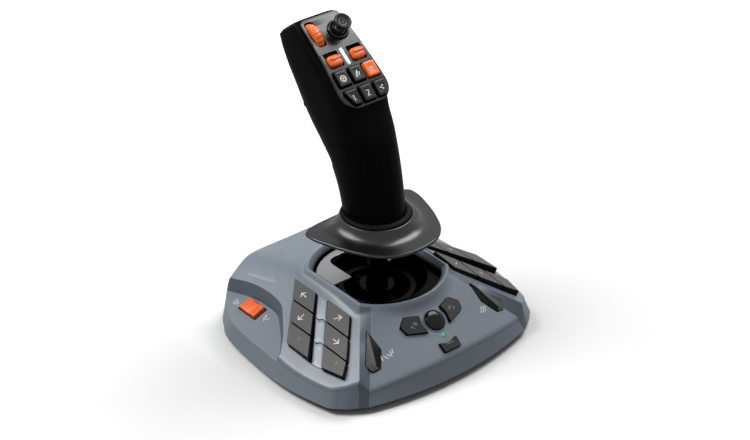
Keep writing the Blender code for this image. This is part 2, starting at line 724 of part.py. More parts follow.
def build_top_shell():
    shell = add_piece("base_top_shell", loft(shell_rings()), SHELL_BLUE)
    hollow = add_cutter("shell_hollow", loft(shell_rings(SHELL_WALL)))
    sides = ((-1, "left"), (1, "right"))
    for side, word in sides:
        outer = list(RECESS_OUTLINE)
        deeper = [(x + SHELL_WALL, y - SHELL_WALL) for x, y in RECESS_OUTLINE]
        if side > 0:
            outer, deeper = mirrored(outer), mirrored(deeper)

        def floor(x, y):
            return recess_floor(-abs(x), y)

        def lower_floor(x, y):
            return recess_floor(-abs(x), y) - 1.08 * SHELL_WALL

        cut = add_cutter(f"{word}_recess", prism(outer, floor, RECESS_TOP))
        keep = add_cutter(f"{word}_recess_wall", prism(deeper, lower_floor, RECESS_TOP))
        boolean(shell, cut)
        boolean(hollow, keep)
    boolean(shell, hollow)
    return shell


def build_bottom_cover():
    plan = [(x, y) for x, y, _ in foot_stations()]
    top = SHELL_BOTTOM - SEAT_GAP
    rings = [[(x, y, COVER_BOTTOM) for x, y in inset_outline(plan, COVER_INSET + COVER_TAPER)],
             [(x, y, top) for x, y in inset_outline(plan, COVER_INSET)]]
    cover = add_piece("base_bottom_cover", loft(rings), BLACK)
    for k, (x, y) in enumerate(scaled(BOARD_BOSS_PLACES)):
        boss = cylinder(BOARD_BOSS_RADIUS, COVER_BOTTOM + 1 * MM, top + BOARD_BOSS_HEIGHT, 16)
        spot = Matrix.Translation((x, y, 0))
        boolean(cover, add_cutter(f"board_boss_{k + 1}", boss, spot), "UNION")
    for k, (x, y) in enumerate(scaled(FOOT_PLACES)):
        foot = cylinder(FOOT_RADIUS, 0.0, COVER_BOTTOM - SEAT_GAP, 32)
        add_piece(f"rubber_foot_{k + 1}", foot, RUBBER, Matrix.Translation((x, y, 0)))
    board_z = top + BOARD_BOSS_HEIGHT + SEAT_GAP + BOARD_SIZE[2] / 2
    board_frame = Matrix.Translation((0, BOARD_Y, board_z))
    add_piece("base_circuit_board", box(BOARD_SIZE), BOARD_GREEN, board_frame)


def build_cable_inlet(shell):
    """Grommet through the back wall; it follows the wall's draft only by its bore's place."""
    lean = BACK_DRAFT * (INLET_Z - SHELL_BOTTOM) / (BACK_Z - SHELL_BOTTOM)
    middle_y = BASE_BACK - lean - SHELL_WALL / 2
    turn = Matrix.Rotation(math.radians(-90), 4, "X")
    frame = Matrix.Translation((0, middle_y, INLET_Z)) @ turn
    half = INLET_LENGTH / 2
    flange = 2.0 * MM
    profile = [(INLET_BORE, -half), (INLET_RADIUS, -half), (INLET_RADIUS, half - flange),
               (INLET_RADIUS - 1.0 * MM, half - 2 * flange + 3 * MM), (INLET_BORE, half - 1 * MM)]
    add_piece("cable_inlet", turned(profile, 24), RUBBER, frame)
    hole = cylinder(INLET_RADIUS + SEAT_GAP, -2 * INLET_LENGTH, INLET_LENGTH, 24)
    boolean(shell, add_cutter("cut_inlet", hole, frame))


# =============================== gimbal ===============================
def gimbal_frame(z=0.0):
    return Matrix.Translation((0, BOWL_Y, z))


def pin_cutter(name, radius, length, axis, z):
    turn = Matrix.Rotation(math.radians(90), 4, "Y" if axis == "X" else "X")
    return add_cutter(name, cylinder(radius, -length / 2, length / 2, 20), gimbal_frame(z) @ turn)


def build_gimbal():
    floor_z = SHELL_BOTTOM
    inner = HOUSING_RADIUS - HOUSING_WALL
    flange_bottom = HOUSING_TOP - FLANGE_THICKNESS
    profile = [(8 * MM, floor_z), (HOUSING_RADIUS, floor_z), (HOUSING_RADIUS, flange_bottom),
               (FLANGE_RADIUS, flange_bottom), (FLANGE_RADIUS, HOUSING_TOP),
               (inner, HOUSING_TOP), (inner, floor_z + HOUSING_FLOOR),
               (8 * MM, floor_z + HOUSING_FLOOR)]
    rings = []
    for k in range(60):
        angle = 2 * math.pi * k / 60
        way = (math.cos(angle), math.sin(angle))
        rings.append([(*bowl_point(way, r, max(r - HOUSING_RADIUS, 0.0)), z) for r, z in profile])
    housing = add_piece("gimbal_housing", loft(rings, closed=True), GLOSS_BLACK)
    bearing = pin_cutter("cut_pitch_bearing", PITCH_PIN_RADIUS + RUN_GAP,
                         3 * HOUSING_RADIUS, "X", PIVOT_Z)
    boolean(housing, bearing)

    half = YOKE_HALF_HEIGHT
    ring = [(YOKE_INNER, -half), (YOKE_RADIUS, -half), (YOKE_RADIUS, half), (YOKE_INNER, half)]
    yoke = add_piece("pitch_yoke", turned(ring, 40), GLOSS_BLACK, gimbal_frame(PIVOT_Z))
    reach = HOUSING_RADIUS - YOKE_RADIUS + 1.5 * MM
    turn = Matrix.Rotation(math.radians(90), 4, "Y")
    for sign in (-1, 1):
        middle = sign * (YOKE_RADIUS - 1.5 * MM + reach / 2)
        pin = cylinder(PITCH_PIN_RADIUS, -reach / 2, reach / 2, 20)
        spot = gimbal_frame(PIVOT_Z) @ Matrix.Translation((middle, 0, 0)) @ turn
        boolean(yoke, add_cutter(f"pitch_pin_{sign}", pin, spot), "UNION")
    boolean(yoke, pin_cutter("cut_roll_bearing", ROLL_PIN_RADIUS + RUN_GAP,
                             3 * YOKE_RADIUS, "Y", PIVOT_Z))

    half = CRADLE_HALF_HEIGHT
    bore = SHAFT_RADIUS + SEAT_GAP
    hub = [(bore, -half), (CRADLE_RADIUS, -half), (CRADLE_RADIUS, half), (bore, half)]
    cradle = add_piece("roll_cradle", turned(hub, 32), BLACK, gimbal_frame(PIVOT_Z))
    reach = YOKE_RADIUS - CRADLE_RADIUS + 1.5 * MM
    turn = Matrix.Rotation(math.radians(90), 4, "X")
    for sign in (-1, 1):
        middle = sign * (CRADLE_RADIUS - 1.5 * MM + reach / 2)
        pin = cylinder(ROLL_PIN_RADIUS, -reach / 2, reach / 2, 20)
        spot = gimbal_frame(PIVOT_Z) @ Matrix.Translation((0, middle, 0)) @ turn
        boolean(cradle, add_cutter(f"roll_pin_{sign}", pin, spot), "UNION")

    tube = [(SHAFT_BORE, SHAFT_BOTTOM), (SHAFT_RADIUS, SHAFT_BOTTOM), (SHAFT_RADIUS, SHAFT_TOP),
            (SHAFT_BORE, SHAFT_TOP)]
    add_piece("stick_shaft", turned(tube, 32), STEEL, gimbal_frame())
    seat_top = SHAFT_BOTTOM + SPRING_SEAT_THICKNESS
    seat = [(bore, SHAFT_BOTTOM), (SPRING_SEAT_RADIUS, SHAFT_BOTTOM),
            (SPRING_SEAT_RADIUS, seat_top), (bore, seat_top)]
    add_piece("spring_seat", turned(seat, 32), BLACK, gimbal_frame())
    build_spring(seat_top + SEAT_GAP + SPRING_WIRE,
                 PIVOT_Z - CRADLE_HALF_HEIGHT - SEAT_GAP - SPRING_WIRE)


def build_spring(bottom, top):
    """Centring spring round the shaft, from its seat to the underside of the cradle."""
    per_turn = 14
    count = int(SPRING_TURNS * per_turn)
    curve = bpy.data.curves.new("centring_spring", "CURVE")
    curve.dimensions = "3D"
    curve.bevel_depth = SPRING_WIRE
    curve.bevel_resolution = 1
    curve.use_fill_caps = True
    spline = curve.splines.new("POLY")
    spline.points.add(count)
    for k, point in enumerate(spline.points):
        angle = 2 * math.pi * k / per_turn
        z = bottom + (top - bottom) * k / count
        point.co = (SPRING_RADIUS * math.cos(angle), SPRING_RADIUS * math.sin(angle), z, 1.0)
    curve.materials.append(STEEL)
    spring = bpy.data.objects.new("centring_spring", curve)
    PARTS.objects.link(spring)
    spring.matrix_world = gimbal_frame()
    pitch = (top - bottom) / SPRING_TURNS
    print(f"spring turns lie {(pitch - 2 * SPRING_WIRE) / MM:.2f} mm apart")


def build_bowl_plate():
    """Satin plate under the rim, on the housing, open at the front and round the stick."""
    top = SKIRT_BOTTOM - SEAT_GAP
    bottom = top - PLATE_THICKNESS
    edge = [bowl_point((math.cos(a), math.sin(a)), PLATE_RADIUS, PLATE_FLAT)
            for a in (2 * math.pi * k / 64 for k in range(64))]
    plate = add_piece("bowl_cover_plate", prism(edge, bottom, top), SATIN)
    front = box((4 * PLATE_RADIUS, 2 * PLATE_RADIUS, 20 * MM),
                (0, PLATE_FRONT_Y - PLATE_RADIUS, top))
    boolean(plate, add_cutter("cut_plate_front", front))
    length = PLATE_CUT_BACK_Y - PLATE_FRONT_Y
    window = rounded_rectangle(2 * PLATE_CUT_HALF, 2 * length, PLATE_CUT_ROUND)
    cut = prism(window, bottom - 5 * MM, top + 5 * MM)
    boolean(plate, add_cutter("cut_plate_window", cut, Matrix.Translation((0, PLATE_FRONT_Y, 0))))


# =============================== hand rest and grip ===============================
def rest_outline():
    half = [(0.0, REST_BACK), *scaled(REST_POINTS), (0.0, -REST_FRONT)]
    half = [(min(x, REST_HALF_WIDTH), y) for x, y in half]
    closed = half + [(-x, y) for x, y in reversed(half[1:-1])]
    count = len(closed)
    found = []
    for i in range(count):
        a, b, c, d = (Vector(closed[(i + k) % count]) for k in (-1, 0, 1, 2))
        for t in (0.0, 0.33, 0.67):
            found.append(tuple(0.5 * ((2 * b) + (c - a) * t + (2 * a - 5 * b + 4 * c - d) * t**2
                                      + (3 * b - a - 3 * c + d) * t**3)))
    return found


def circle_toward(outline, middle, radius):
    """Point of a circle in the direction of each outline point."""
    found = []
    for x, y in outline:
        way = (Vector((x, y)) - Vector(middle)).normalized()
        found.append((middle[0] + way.x * radius, middle[1] + way.y * radius))
    return found


def build_hand_rest():
    edge = rest_outline()
    middle = (0.0, REST_Y)
    collar = circle_toward(edge, middle, REST_COLLAR_RADIUS)
    bore = circle_toward(edge, middle, COLLAR_RADIUS + 2.5 * SEAT_GAP)
    hole = circle_toward(edge, (0.0, BOWL_Y), BUSH_RADIUS + 2 * SEAT_GAP)
    floor_top = GRIP_BOTTOM - SEAT_GAP
    floor_bottom = floor_top - REST_FLOOR

    def between(share, z):
        return [(a[0] + (b[0] - a[0]) * share, a[1] + (b[1] - a[1]) * share, z)
                for a, b in zip(edge, collar)]

    def flat(points, z):
        return [(x, y, z) for x, y in points]

    rise = REST_COLLAR_TOP - REST_Z
    half = REST_EDGE / 2
    rings = [
        flat(inset_outline(edge, 1.2 * MM), REST_Z - REST_EDGE),
        flat(edge, REST_Z - half),
        flat(inset_outline(edge, 0.9 * MM), REST_Z - 0.25 * MM),
        between(0.16, REST_Z - 0.3 * MM),
        between(0.45, REST_Z),
        between(0.72, REST_Z + 0.20 * rise),
        between(0.90, REST_Z + 0.55 * rise),
        flat(collar, REST_COLLAR_TOP),
        flat(bore, REST_COLLAR_TOP),
        flat(bore, floor_top),
        flat(hole, floor_top),
        flat(hole, floor_bottom),
        between(0.80, floor_bottom),
        between(0.16, REST_Z - REST_EDGE),
    ]
    add_piece("hand_rest", loft(rings, closed=True), SOFT_BLACK)
    bush_bore = SHAFT_RADIUS + SEAT_GAP
    bush = [(bush_bore, floor_bottom), (BUSH_RADIUS, floor_bottom), (BUSH_RADIUS, floor_top),
            (bush_bore, floor_top)]
    add_piece("twist_bush", turned(bush, 32), STEEL, gimbal_frame())


def grip_ring(section, offset):
    (fy, fz), (by, bz), half_width, front_square, back_square = section
    front, back = Vector((fy, fz)) * MM, Vector((by, bz)) * MM
    middle = (front + back) / 2
    way = (back - front).normalized()
    depth = (back - front).length / 2 + offset
    width = half_width * MM + offset
    ring = []
    for k in range(GRIP_POINTS):
        angle = 2 * math.pi * (k + 0.5) / GRIP_POINTS
        c, s = math.cos(angle), math.sin(angle)
        square = back_square if s > 0 else front_square
        across = math.copysign(abs(c) ** (2 / square), c) * width
        along = math.copysign(abs(s) ** (2 / square), s) * depth
        ring.append((across, middle.x + way.x * along, middle.y + way.y * along))
    return ring


def grip_body(offset=0.0, end_shift=0.0):
    """The grip's whole outer form, grown or shrunk by the offset; its ends move by the shift."""
    rings = [grip_ring(section, offset) for section in GRIP_SECTIONS]
    low = []
    for first, second in zip(*([Vector(p) for p in ring] for ring in rings[:2])):
        low.append(tuple(first + (first - second) * end_shift / (second.z - first.z)))
    way = Vector((0.0, math.cos(PANEL_TILT), math.sin(PANEL_TILT))) * end_shift
    high = [tuple(Vector(p) + way) for p in rings[-1]]
    return loft([low, *rings[1:-1], high])


def side_view_prism(points, half_width):
    """Outline given in side view (y, z) and extruded across the grip."""
    rings = [[(x, y * MM, z * MM) for y, z in points] for x in (-half_width, half_width)]
    return loft(rings)


def panel_frame(x, s, height=0.0):
    """Frame on the thumb panel: X to the right, Y up along the panel, Z out of it."""
    tilt = PANEL_TILT - s / PANEL_ARC_RADIUS
    middle_way = Vector((0, -math.sin(PANEL_TILT), math.cos(PANEL_TILT)))
    centre = Vector((0, *PANEL_MIDDLE)) - middle_way * PANEL_ARC_RADIUS
    out = Vector((0, -math.sin(tilt), math.cos(tilt)))
    up = Vector((0, math.cos(tilt), math.sin(tilt)))
    frame = Matrix((Vector((1, 0, 0)), up, out)).transposed().to_4x4()
    frame.translation = centre + out * (PANEL_ARC_RADIUS + height) + Vector((x, 0, 0))
    return frame


def panel_half_width(s):
    span = PANEL_TOP_END - PANEL_BOTTOM_END
    half = PANEL_HALF_BOTTOM + (PANEL_HALF_TOP - PANEL_HALF_BOTTOM) * (s - PANEL_BOTTOM_END) / span
    if s < PANEL_ROUND_START:
        share = (PANEL_ROUND_START - s) / (PANEL_ROUND_START - PANEL_BOTTOM_END)
        half *= 0.42 + 0.58 * math.sqrt(max(1.0 - share**2, 0.0))
    return half


def panel_sheet(grow, bottom, top):
    """Bent sheet of the panel's outline, grown all round, between two heights over the arc."""
    low_end, high_end = PANEL_BOTTOM_END - grow, PANEL_TOP_END + grow
    round_steps = [low_end + (PANEL_ROUND_START - low_end) * (1 - math.cos(math.pi / 2 * k / 6))
                   for k in range(7)]
    straight = [PANEL_ROUND_START + (high_end - PANEL_ROUND_START) * k / 5 for k in range(1, 6)]
    rings = []
    for s in round_steps + straight:
        half = panel_half_width(max(s, PANEL_BOTTOM_END)) + grow
        low, high = panel_frame(0, s, bottom), panel_frame(0, s, top)
        rings.append([low @ Vector((-half, 0, 0)), low @ Vector((half, 0, 0)),
                      high @ Vector((half, 0, 0)), high @ Vector((-half, 0, 0))])
    return loft(rings)


def build_grip():
    inside = add_cutter("grip_inside", grip_body(-GRIP_WALL, -GRIP_WALL))
    ledge = add_cutter("panel_opening",
                       panel_sheet(-PANEL_LEDGE, -11 * MM, 20 * MM))
    rebate = add_cutter("panel_rebate",
                        panel_sheet(SEAT_GAP, -PANEL_THICKNESS - SEAT_GAP, 20 * MM))
    skin = add_cutter("cover_backing", grip_body(-COVER_THICKNESS - SEAT_GAP, 10 * MM))
    region = add_cutter("cover_region", side_view_prism(COVER_REGION, 40 * MM))
    boolean(region, skin)
    below = 5 * MM
    socket = cylinder(SHAFT_RADIUS + SEAT_GAP, GRIP_BOTTOM - below, SHAFT_TOP + SEAT_GAP)
    shaft_hole = add_cutter("shaft_hole", socket, gimbal_frame())
    sides = ((-1, "left"), (1, "right"))
    for side, word in sides:
        half = box((60 * MM, 200 * MM, 200 * MM),
                   (side * (30 * MM + SPLIT_HALF), 20 * MM, 170 * MM + GRIP_BOTTOM - 98.2 * MM))
        shell = add_piece(f"{word}_grip_shell", grip_body(), SOFT_BLACK)
        boolean(shell, inside)
        boolean(shell, add_cutter(f"{word}_half", half), "INTERSECT")
        boolean(shell, rebate)
        boolean(shell, ledge)
        boolean(shell, region)
        boolean(shell, shaft_hole)
        if side < 0:
            cut_screw_recesses(shell)
            left = shell
    cover = add_piece("rear_grip_cover", grip_body(), SOFT_BLACK)
    trim = [(y, z + (0.5 if z < 109 else -0.25)) for y, z in inset_outline(COVER_REGION, 0.35)]
    boolean(cover, add_cutter("cover_trim", side_view_prism(trim, 40 * MM)), "INTERSECT")
    boolean(cover, add_cutter("cover_inside", grip_body(-COVER_THICKNESS, below)))

    ring = [(SHAFT_RADIUS + 6 * MM, GRIP_BOTTOM), (COLLAR_RADIUS, GRIP_BOTTOM),
            (COLLAR_RADIUS, COLLAR_TOP), (SHAFT_RADIUS + 6 * MM, COLLAR_TOP)]
    collar = add_piece("grip_collar", turned(ring, 48), RUBBER, Matrix.Translation((0, REST_Y, 0)))
    boolean(collar, add_cutter("collar_bore", grip_body(SEAT_GAP, 5 * MM)))
    return left


def cut_screw_recesses(shell):
    for k, (y, z) in enumerate(scaled(SCREW_PLACES)):
        x = -grip_half_width_at(y, z)
        turn = Matrix.Rotation(math.radians(90), 4, "Y")
        frame = Matrix.Translation((x, y, z)) @ turn
        hole = cylinder(SCREW_HEAD + SEAT_GAP, -8 * MM, SCREW_SINK, 16)
        boolean(shell, add_cutter(f"screw_recess_{k + 1}", hole, frame))
        head = cylinder(SCREW_HEAD, SCREW_SINK - 2.2 * MM, SCREW_SINK - SEAT_GAP, 16)
        add_piece(f"grip_screw_{k + 1}", head, STEEL, frame)


def grip_half_width_at(y, z):
    """Half width of the grip at a place in side view, by casting a ray at its outer form."""
    tree = BVHTree.FromBMesh(grip_body())
    hit = tree.ray_cast(Vector((0.2, y, z)), Vector((-1, 0, 0)))[0]
    return hit.x


# =============================== thumb panel ===============================
def build_panel(grip_shell):
    plate = add_piece("panel_plate", panel_sheet(0.0, -PANEL_THICKNESS, 0.0), PANEL_BLACK)
    build_thumb_keys(plate)
    build_thumb_rockers(plate)
    build_light_bar(plate)
    build_wheel(plate, grip_shell)
    build_mini_stick(plate)
    build_board_posts(plate)
    board = [panel_frame(0, s) for s in HANDLE_BOARD_SPAN]
    rings = []
    for frame in board:
        rings.append([frame @ Vector((x, 0, -HANDLE_BOARD_DEPTH - t)) for x, t in
                      ((-HANDLE_BOARD_HALF, HANDLE_BOARD_THICKNESS),
                       (HANDLE_BOARD_HALF, HANDLE_BOARD_THICKNESS),
                       (HANDLE_BOARD_HALF, 0.0), (-HANDLE_BOARD_HALF, 0.0))])
    add_piece("handle_circuit_board", loft(rings), BOARD_GREEN)


def build_board_posts(plate):
    """Posts under the plate that the flat board is fixed to; the plate bows away from it."""
    low, high = HANDLE_BOARD_SPAN
    for row, s in enumerate(BOARD_POST_ROWS):
        bow = ((high - low) ** 2 / 4 - (s - (low + high) / 2) ** 2) / (2 * PANEL_ARC_RADIUS)
        end = -HANDLE_BOARD_DEPTH - bow + SEAT_GAP
        for side in (-1, 1):
            post = cylinder(BOARD_POST_RADIUS, end, -PANEL_THICKNESS / 2, 12)
            frame = panel_frame(side * BOARD_POST_X, s)
            boolean(plate, add_cutter(f"board_post_{row + 1}_{side}", post, frame), "UNION")


def plate_hole(plate, name, outline, frame):
    boolean(plate, add_cutter(name, prism(outline, -9 * MM, 9 * MM), frame))


def build_thumb_keys(plate):
    names = (("upper_left", "upper_middle", "upper_right"),
             ("lower_left", "lower_middle", "lower_right"))
    width, length = THUMB_SIZE
    for s, row in zip(THUMB_ROWS, names):
        for column, name in zip((-1, 0, 1), row):
            frame = panel_frame(column * THUMB_PITCH, s)
            outline = rounded_rectangle(width, length, 1.2 * MM, 2)
            if s < PANEL_ROUND_START and column:
                outline = [(x - column * 0.35 * (length / 2 - y) if x * column > 0 and y < 0 else x,
                            y) for x, y in outline]
            hole = inset_outline(outline, -KEY_GAP)
            plate_hole(plate, f"cut_thumb_{name}", hole, frame)
            material = ORANGE if name == "upper_right" else KEY_BLACK
            solid = key_solid(outline, THUMB_RISE, THUMB_DEPTH)
            add_piece(f"thumb_key_{name}", solid, material, frame)


def build_thumb_rockers(plate):
    half_x, half_s = ROCKER_SIZE[0] / 2, ROCKER_SIZE[1] / 2
    rise = ROCKER_RISE
    profile = [(-0.8 * half_s, -ROCKER_DEPTH), (0.8 * half_s, -ROCKER_DEPTH),
               (0.88 * half_s, -0.2 * rise), (0.45 * half_s, 0.45 * rise), (0.25 * half_s, rise),
               (-0.25 * half_s, rise), (-0.45 * half_s, 0.45 * rise), (-0.88 * half_s, -0.2 * rise)]
    pairs = ((-1, "left"), (1, "right"))
    for side, word in pairs:
        frame = panel_frame(side * ROCKER_X, ROCKER_S)
        hole = rounded_rectangle(2 * (half_x + KEY_GAP), 2 * (half_s + KEY_GAP), 1.5 * MM, 2)
        plate_hole(plate, f"cut_{word}_thumb_rocker", hole, frame)
        rings = [[(sx * half_x, s, h) for s, h in profile] for sx in (-1, 1)]
        add_piece(f"{word}_thumb_rocker", loft(rings), ORANGE, frame)


def build_light_bar(plate):
    frame = panel_frame(0, ROCKER_S)
    outline = rounded_rectangle(*BAR_SIZE, 0.5 * MM, 2)
    plate_hole(plate, "cut_light_bar", inset_outline(outline, -SEAT_GAP), frame)
    solid = prism(outline, -PANEL_THICKNESS - 1 * MM, BAR_RISE)
    add_piece("light_bar", solid, WHITE, frame)


def build_wheel(plate, grip_shell):
    """Thumb wheel on an axle held by two ears under the plate."""
    sink = WHEEL_RADIUS - WHEEL_RISE
    frame = panel_frame(WHEEL_X, WHEEL_S)
    chord = math.sqrt(WHEEL_RADIUS**2 - (sink - PANEL_THICKNESS)**2)
    slot = rounded_rectangle(WHEEL_WIDTH + 4 * RUN_GAP, 2 * (chord + 2 * RUN_GAP), 3.5 * MM, 4)
    turn = Matrix.Rotation(math.radians(90), 4, "Y")
    axle_frame = frame @ Matrix.Translation((0, 0, -sink)) @ turn
    ear = Vector((1.7 * MM, 7.0 * MM, sink + AXLE_RADIUS + 2.0 * MM))
    ear_x = WHEEL_WIDTH / 2 + 2 * RUN_GAP + ear[0] / 2
    room = ear + Vector((2 * SEAT_GAP, 2 * SEAT_GAP, 6 * SEAT_GAP))
    for sign in (-1, 1):
        middle = (sign * ear_x, 0, -0.8 * MM - ear[2] / 2)
        boolean(plate, add_cutter(f"wheel_ear_{sign}", box(ear, middle), frame), "UNION")
        boolean(grip_shell, add_cutter(f"ear_room_{sign}", box(room, middle), frame))
    plate_hole(plate, "cut_wheel_slot", slot, frame)
    bore = cylinder(AXLE_RADIUS + SEAT_GAP, -3 * WHEEL_WIDTH, 3 * WHEEL_WIDTH, 16)
    boolean(plate, add_cutter("cut_axle_ears", bore, axle_frame))
    axle_half = ear_x + ear[0] / 2 - SEAT_GAP
    add_piece("wheel_axle", cylinder(AXLE_RADIUS, -axle_half, axle_half, 16), STEEL, axle_frame)
    rim = []
    steps = 2 * WHEEL_RIBS
    for k in range(steps):
        angle = 2 * math.pi * k / steps
        radius = WHEEL_RADIUS - (WHEEL_RIB_DEPTH if k % 2 else 0.0)
        rim.append((math.cos(angle), math.sin(angle), radius))
    half = WHEEL_WIDTH / 2
    hole = AXLE_RADIUS + RUN_GAP
    rings = [
        [(c * hole, s * hole, -half) for c, s, r in rim],
        [(c * (r - 1.6 * MM), s * (r - 1.6 * MM), -half) for c, s, r in rim],
        [(c * r, s * r, -0.45 * half) for c, s, r in rim],
        [(c * r, s * r, 0.45 * half) for c, s, r in rim],
        [(c * (r - 1.6 * MM), s * (r - 1.6 * MM), half) for c, s, r in rim],
        [(c * hole, s * hole, half) for c, s, r in rim],
    ]
    add_piece("scroll_wheel", loft(rings, closed=True), ORANGE, axle_frame)


def sphere_arc(radius, low, high, steps):
    """Points (radius, height) on a ball between two latitudes in degrees."""
    angles = [math.radians(low + (high - low) * k / steps) for k in range(steps + 1)]
    return [(radius * math.cos(a), radius * math.sin(a)) for a in angles]


def build_mini_stick(plate):
    """Small thumb stick: a fixed socket, a round cradle that tips in it, and a cap on a ball."""
    frame = panel_frame(STICK_X, STICK_S)
    inner = STICK_BALL_RADIUS + RUN_GAP
    outer = inner + STICK_CRADLE_WALL
    bore = outer + RUN_GAP
    wall = STICK_SOCKET_RADIUS - SEAT_GAP
    socket = [(bore, -PANEL_THICKNESS - 1.5 * MM), (wall, -PANEL_THICKNESS - 1.5 * MM),
              (wall, SEAT_GAP), (wall + 0.4 * MM, SEAT_GAP), (wall - 0.2 * MM, 1.7 * MM),
              (bore + 0.3 * MM, 2.0 * MM), (bore, 1.4 * MM)]
    ring = [(STICK_SOCKET_RADIUS * math.cos(a), STICK_SOCKET_RADIUS * math.sin(a))
            for a in (2 * math.pi * k / 32 for k in range(32))]
    plate_hole(plate, "cut_mini_stick", ring, frame)
    add_piece("mini_stick_socket", turned(socket, 32), GLOSS_BLACK, frame)
    cradle = sphere_arc(outer, -30, 28, 5) + sphere_arc(inner, -30, 28, 5)[::-1]
    add_piece("mini_stick_cradle", turned(cradle, 32), GLOSS_BLACK, frame)
    top, wide, neck = STICK_CAP_HEIGHT, STICK_CAP_RADIUS, STICK_NECK_RADIUS
    low = top - 3.6 * MM
    lean = math.degrees(math.acos(neck / STICK_BALL_RADIUS))
    profile = sphere_arc(STICK_BALL_RADIUS, -70, lean, 7)
    profile += [(neck, low - 1.0 * MM), (0.55 * wide, low), (0.9 * wide, low + 0.8 * MM),
                (wide, low + 2.0 * MM), (0.94 * wide, top - 0.3 * MM), (0.82 * wide, top),
                (0.55 * wide, top - 0.9 * MM), (0.2 * wide, top - 1.2 * MM)]
    rings = [[(r * math.cos(a), r * math.sin(a), z) for a in
              (2 * math.pi * k / 32 for k in range(32))] for r, z in profile]
    add_piece("mini_stick_cap", loft(rings), SOFT_BLACK, frame)


# =============================== build ===============================
clear_scene()
PARTS = new_collection("vehicle_joystick")
CUTTERS = new_collection("cutters")

SHELL_BLUE = make_material("shell_blue_grey", SHELL_COLOR, 0.42)
BLACK = make_material("black_plastic", BLACK_COLOR, 0.5)
SOFT_BLACK = make_material("soft_touch_black", BLACK_COLOR, 0.48)
GLOSS_BLACK = make_material("gloss_black", BLACK_COLOR, 0.15)
PANEL_BLACK = make_material("panel_black", BLACK_COLOR, 0.4)
KEY_BLACK = make_material("key_dark_grey", KEY_COLOR, 0.4)
ORANGE = make_material("orange_plastic", ORANGE_COLOR, 0.35)
SATIN = make_material("satin_plate", SATIN_COLOR, 0.3, 0.6)
STEEL = make_material("steel", STEEL_COLOR, 0.3, 1.0)
WHITE = make_material("white_lens", WHITE_COLOR, 0.3)
GREEN = make_material("green_lens", GREEN_COLOR, 0.2)
BOARD_GREEN = make_material("circuit_board", BOARD_COLOR, 0.5)
RUBBER = make_material("rubber", RUBBER_COLOR, 0.8)

top_shell = build_top_shell()
skin_tree = seat_tree()
build_key_clusters(top_shell)
build_front_keys(top_shell, skin_tree)
build_side_rockers(top_shell)
build_cable_inlet(top_shell)
build_bottom_cover()
build_gimbal()
build_bowl_plate()
build_hand_rest()
left_shell = build_grip()
build_panel(left_shell)
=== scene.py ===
"""Looks of the vehicle-simulation joystick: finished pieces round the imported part.

Metres, +Z up, +Y away from the user, the origin under the middle of the base.
"""

import json
import math

import bmesh
import bpy
from mathutils import Matrix, Vector
from mathutils.bvhtree import BVHTree

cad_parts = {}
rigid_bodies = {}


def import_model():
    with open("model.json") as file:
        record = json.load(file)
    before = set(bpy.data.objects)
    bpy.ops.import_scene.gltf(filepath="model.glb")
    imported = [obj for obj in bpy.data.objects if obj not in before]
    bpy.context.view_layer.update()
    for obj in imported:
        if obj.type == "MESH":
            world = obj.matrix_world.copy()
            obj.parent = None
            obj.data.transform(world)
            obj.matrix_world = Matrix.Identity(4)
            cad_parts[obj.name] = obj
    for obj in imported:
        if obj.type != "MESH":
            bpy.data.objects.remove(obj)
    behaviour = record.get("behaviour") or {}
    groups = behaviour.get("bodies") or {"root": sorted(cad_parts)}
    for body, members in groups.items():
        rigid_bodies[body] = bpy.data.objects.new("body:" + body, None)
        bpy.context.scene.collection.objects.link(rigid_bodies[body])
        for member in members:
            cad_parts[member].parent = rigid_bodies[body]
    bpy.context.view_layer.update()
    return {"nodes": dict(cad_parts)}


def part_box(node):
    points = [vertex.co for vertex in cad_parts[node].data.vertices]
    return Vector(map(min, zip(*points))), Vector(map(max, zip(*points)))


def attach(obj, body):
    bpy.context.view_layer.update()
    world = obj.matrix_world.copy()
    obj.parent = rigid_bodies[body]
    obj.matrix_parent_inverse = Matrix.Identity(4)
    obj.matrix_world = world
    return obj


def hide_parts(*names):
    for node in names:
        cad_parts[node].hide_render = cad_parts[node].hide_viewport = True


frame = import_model()

MM = 0.001
BODY_PREFIX = "body:"

# =============================== sizes ===============================
SEAT_GAP = 0.3 * MM
KEY_GAP = 0.45 * MM

BASE_FRONT = 105.6 * MM
BASE_BACK = 105.6 * MM
BASE_HALF_WIDTH = 112.0 * MM
BASE_WIDEST_Y = -25.0 * MM
CORNER_IN = (79.3 * MM, -93.9 * MM)
CORNER_OUT = (86.0 * MM, -90.0 * MM)
FRONT_SIDE_POINTS = ((96.5 * MM, -82.2 * MM), (104.8 * MM, -69.4 * MM))
BACK_SIDE_POINTS = ((107.6 * MM, 39.0 * MM), (98.0 * MM, 62.5 * MM), (84.0 * MM, 80.5 * MM),
                    (57.0 * MM, 97.0 * MM))
SHELL_BOTTOM = 5.0 * MM
SHELL_WALL = 2.6 * MM
FRONT_DRAFT = 4.6 * MM
SIDE_DRAFT = 6.5 * MM
CORNER_DRAFT = 4.5 * MM
BACK_DRAFT = 22.5 * MM
BACK_DRAFT_START_Y = 79.0 * MM
SHOULDER = 2.6 * MM

BOWL_Y = -8.5 * MM
BOWL_RADIUS = 50.0 * MM
BOWL_FLAT = 10.5 * MM
RIM_Z = 55.4 * MM
RIM_TOP_RADIUS = BOWL_RADIUS + 3.0 * MM
RIM_OUTER_RADIUS = RIM_TOP_RADIUS + 2.6 * MM
VALLEY_RADIUS = RIM_OUTER_RADIUS + 2.4 * MM
VALLEY_Z = 50.6 * MM
SKIRT_BOTTOM = 49.4 * MM

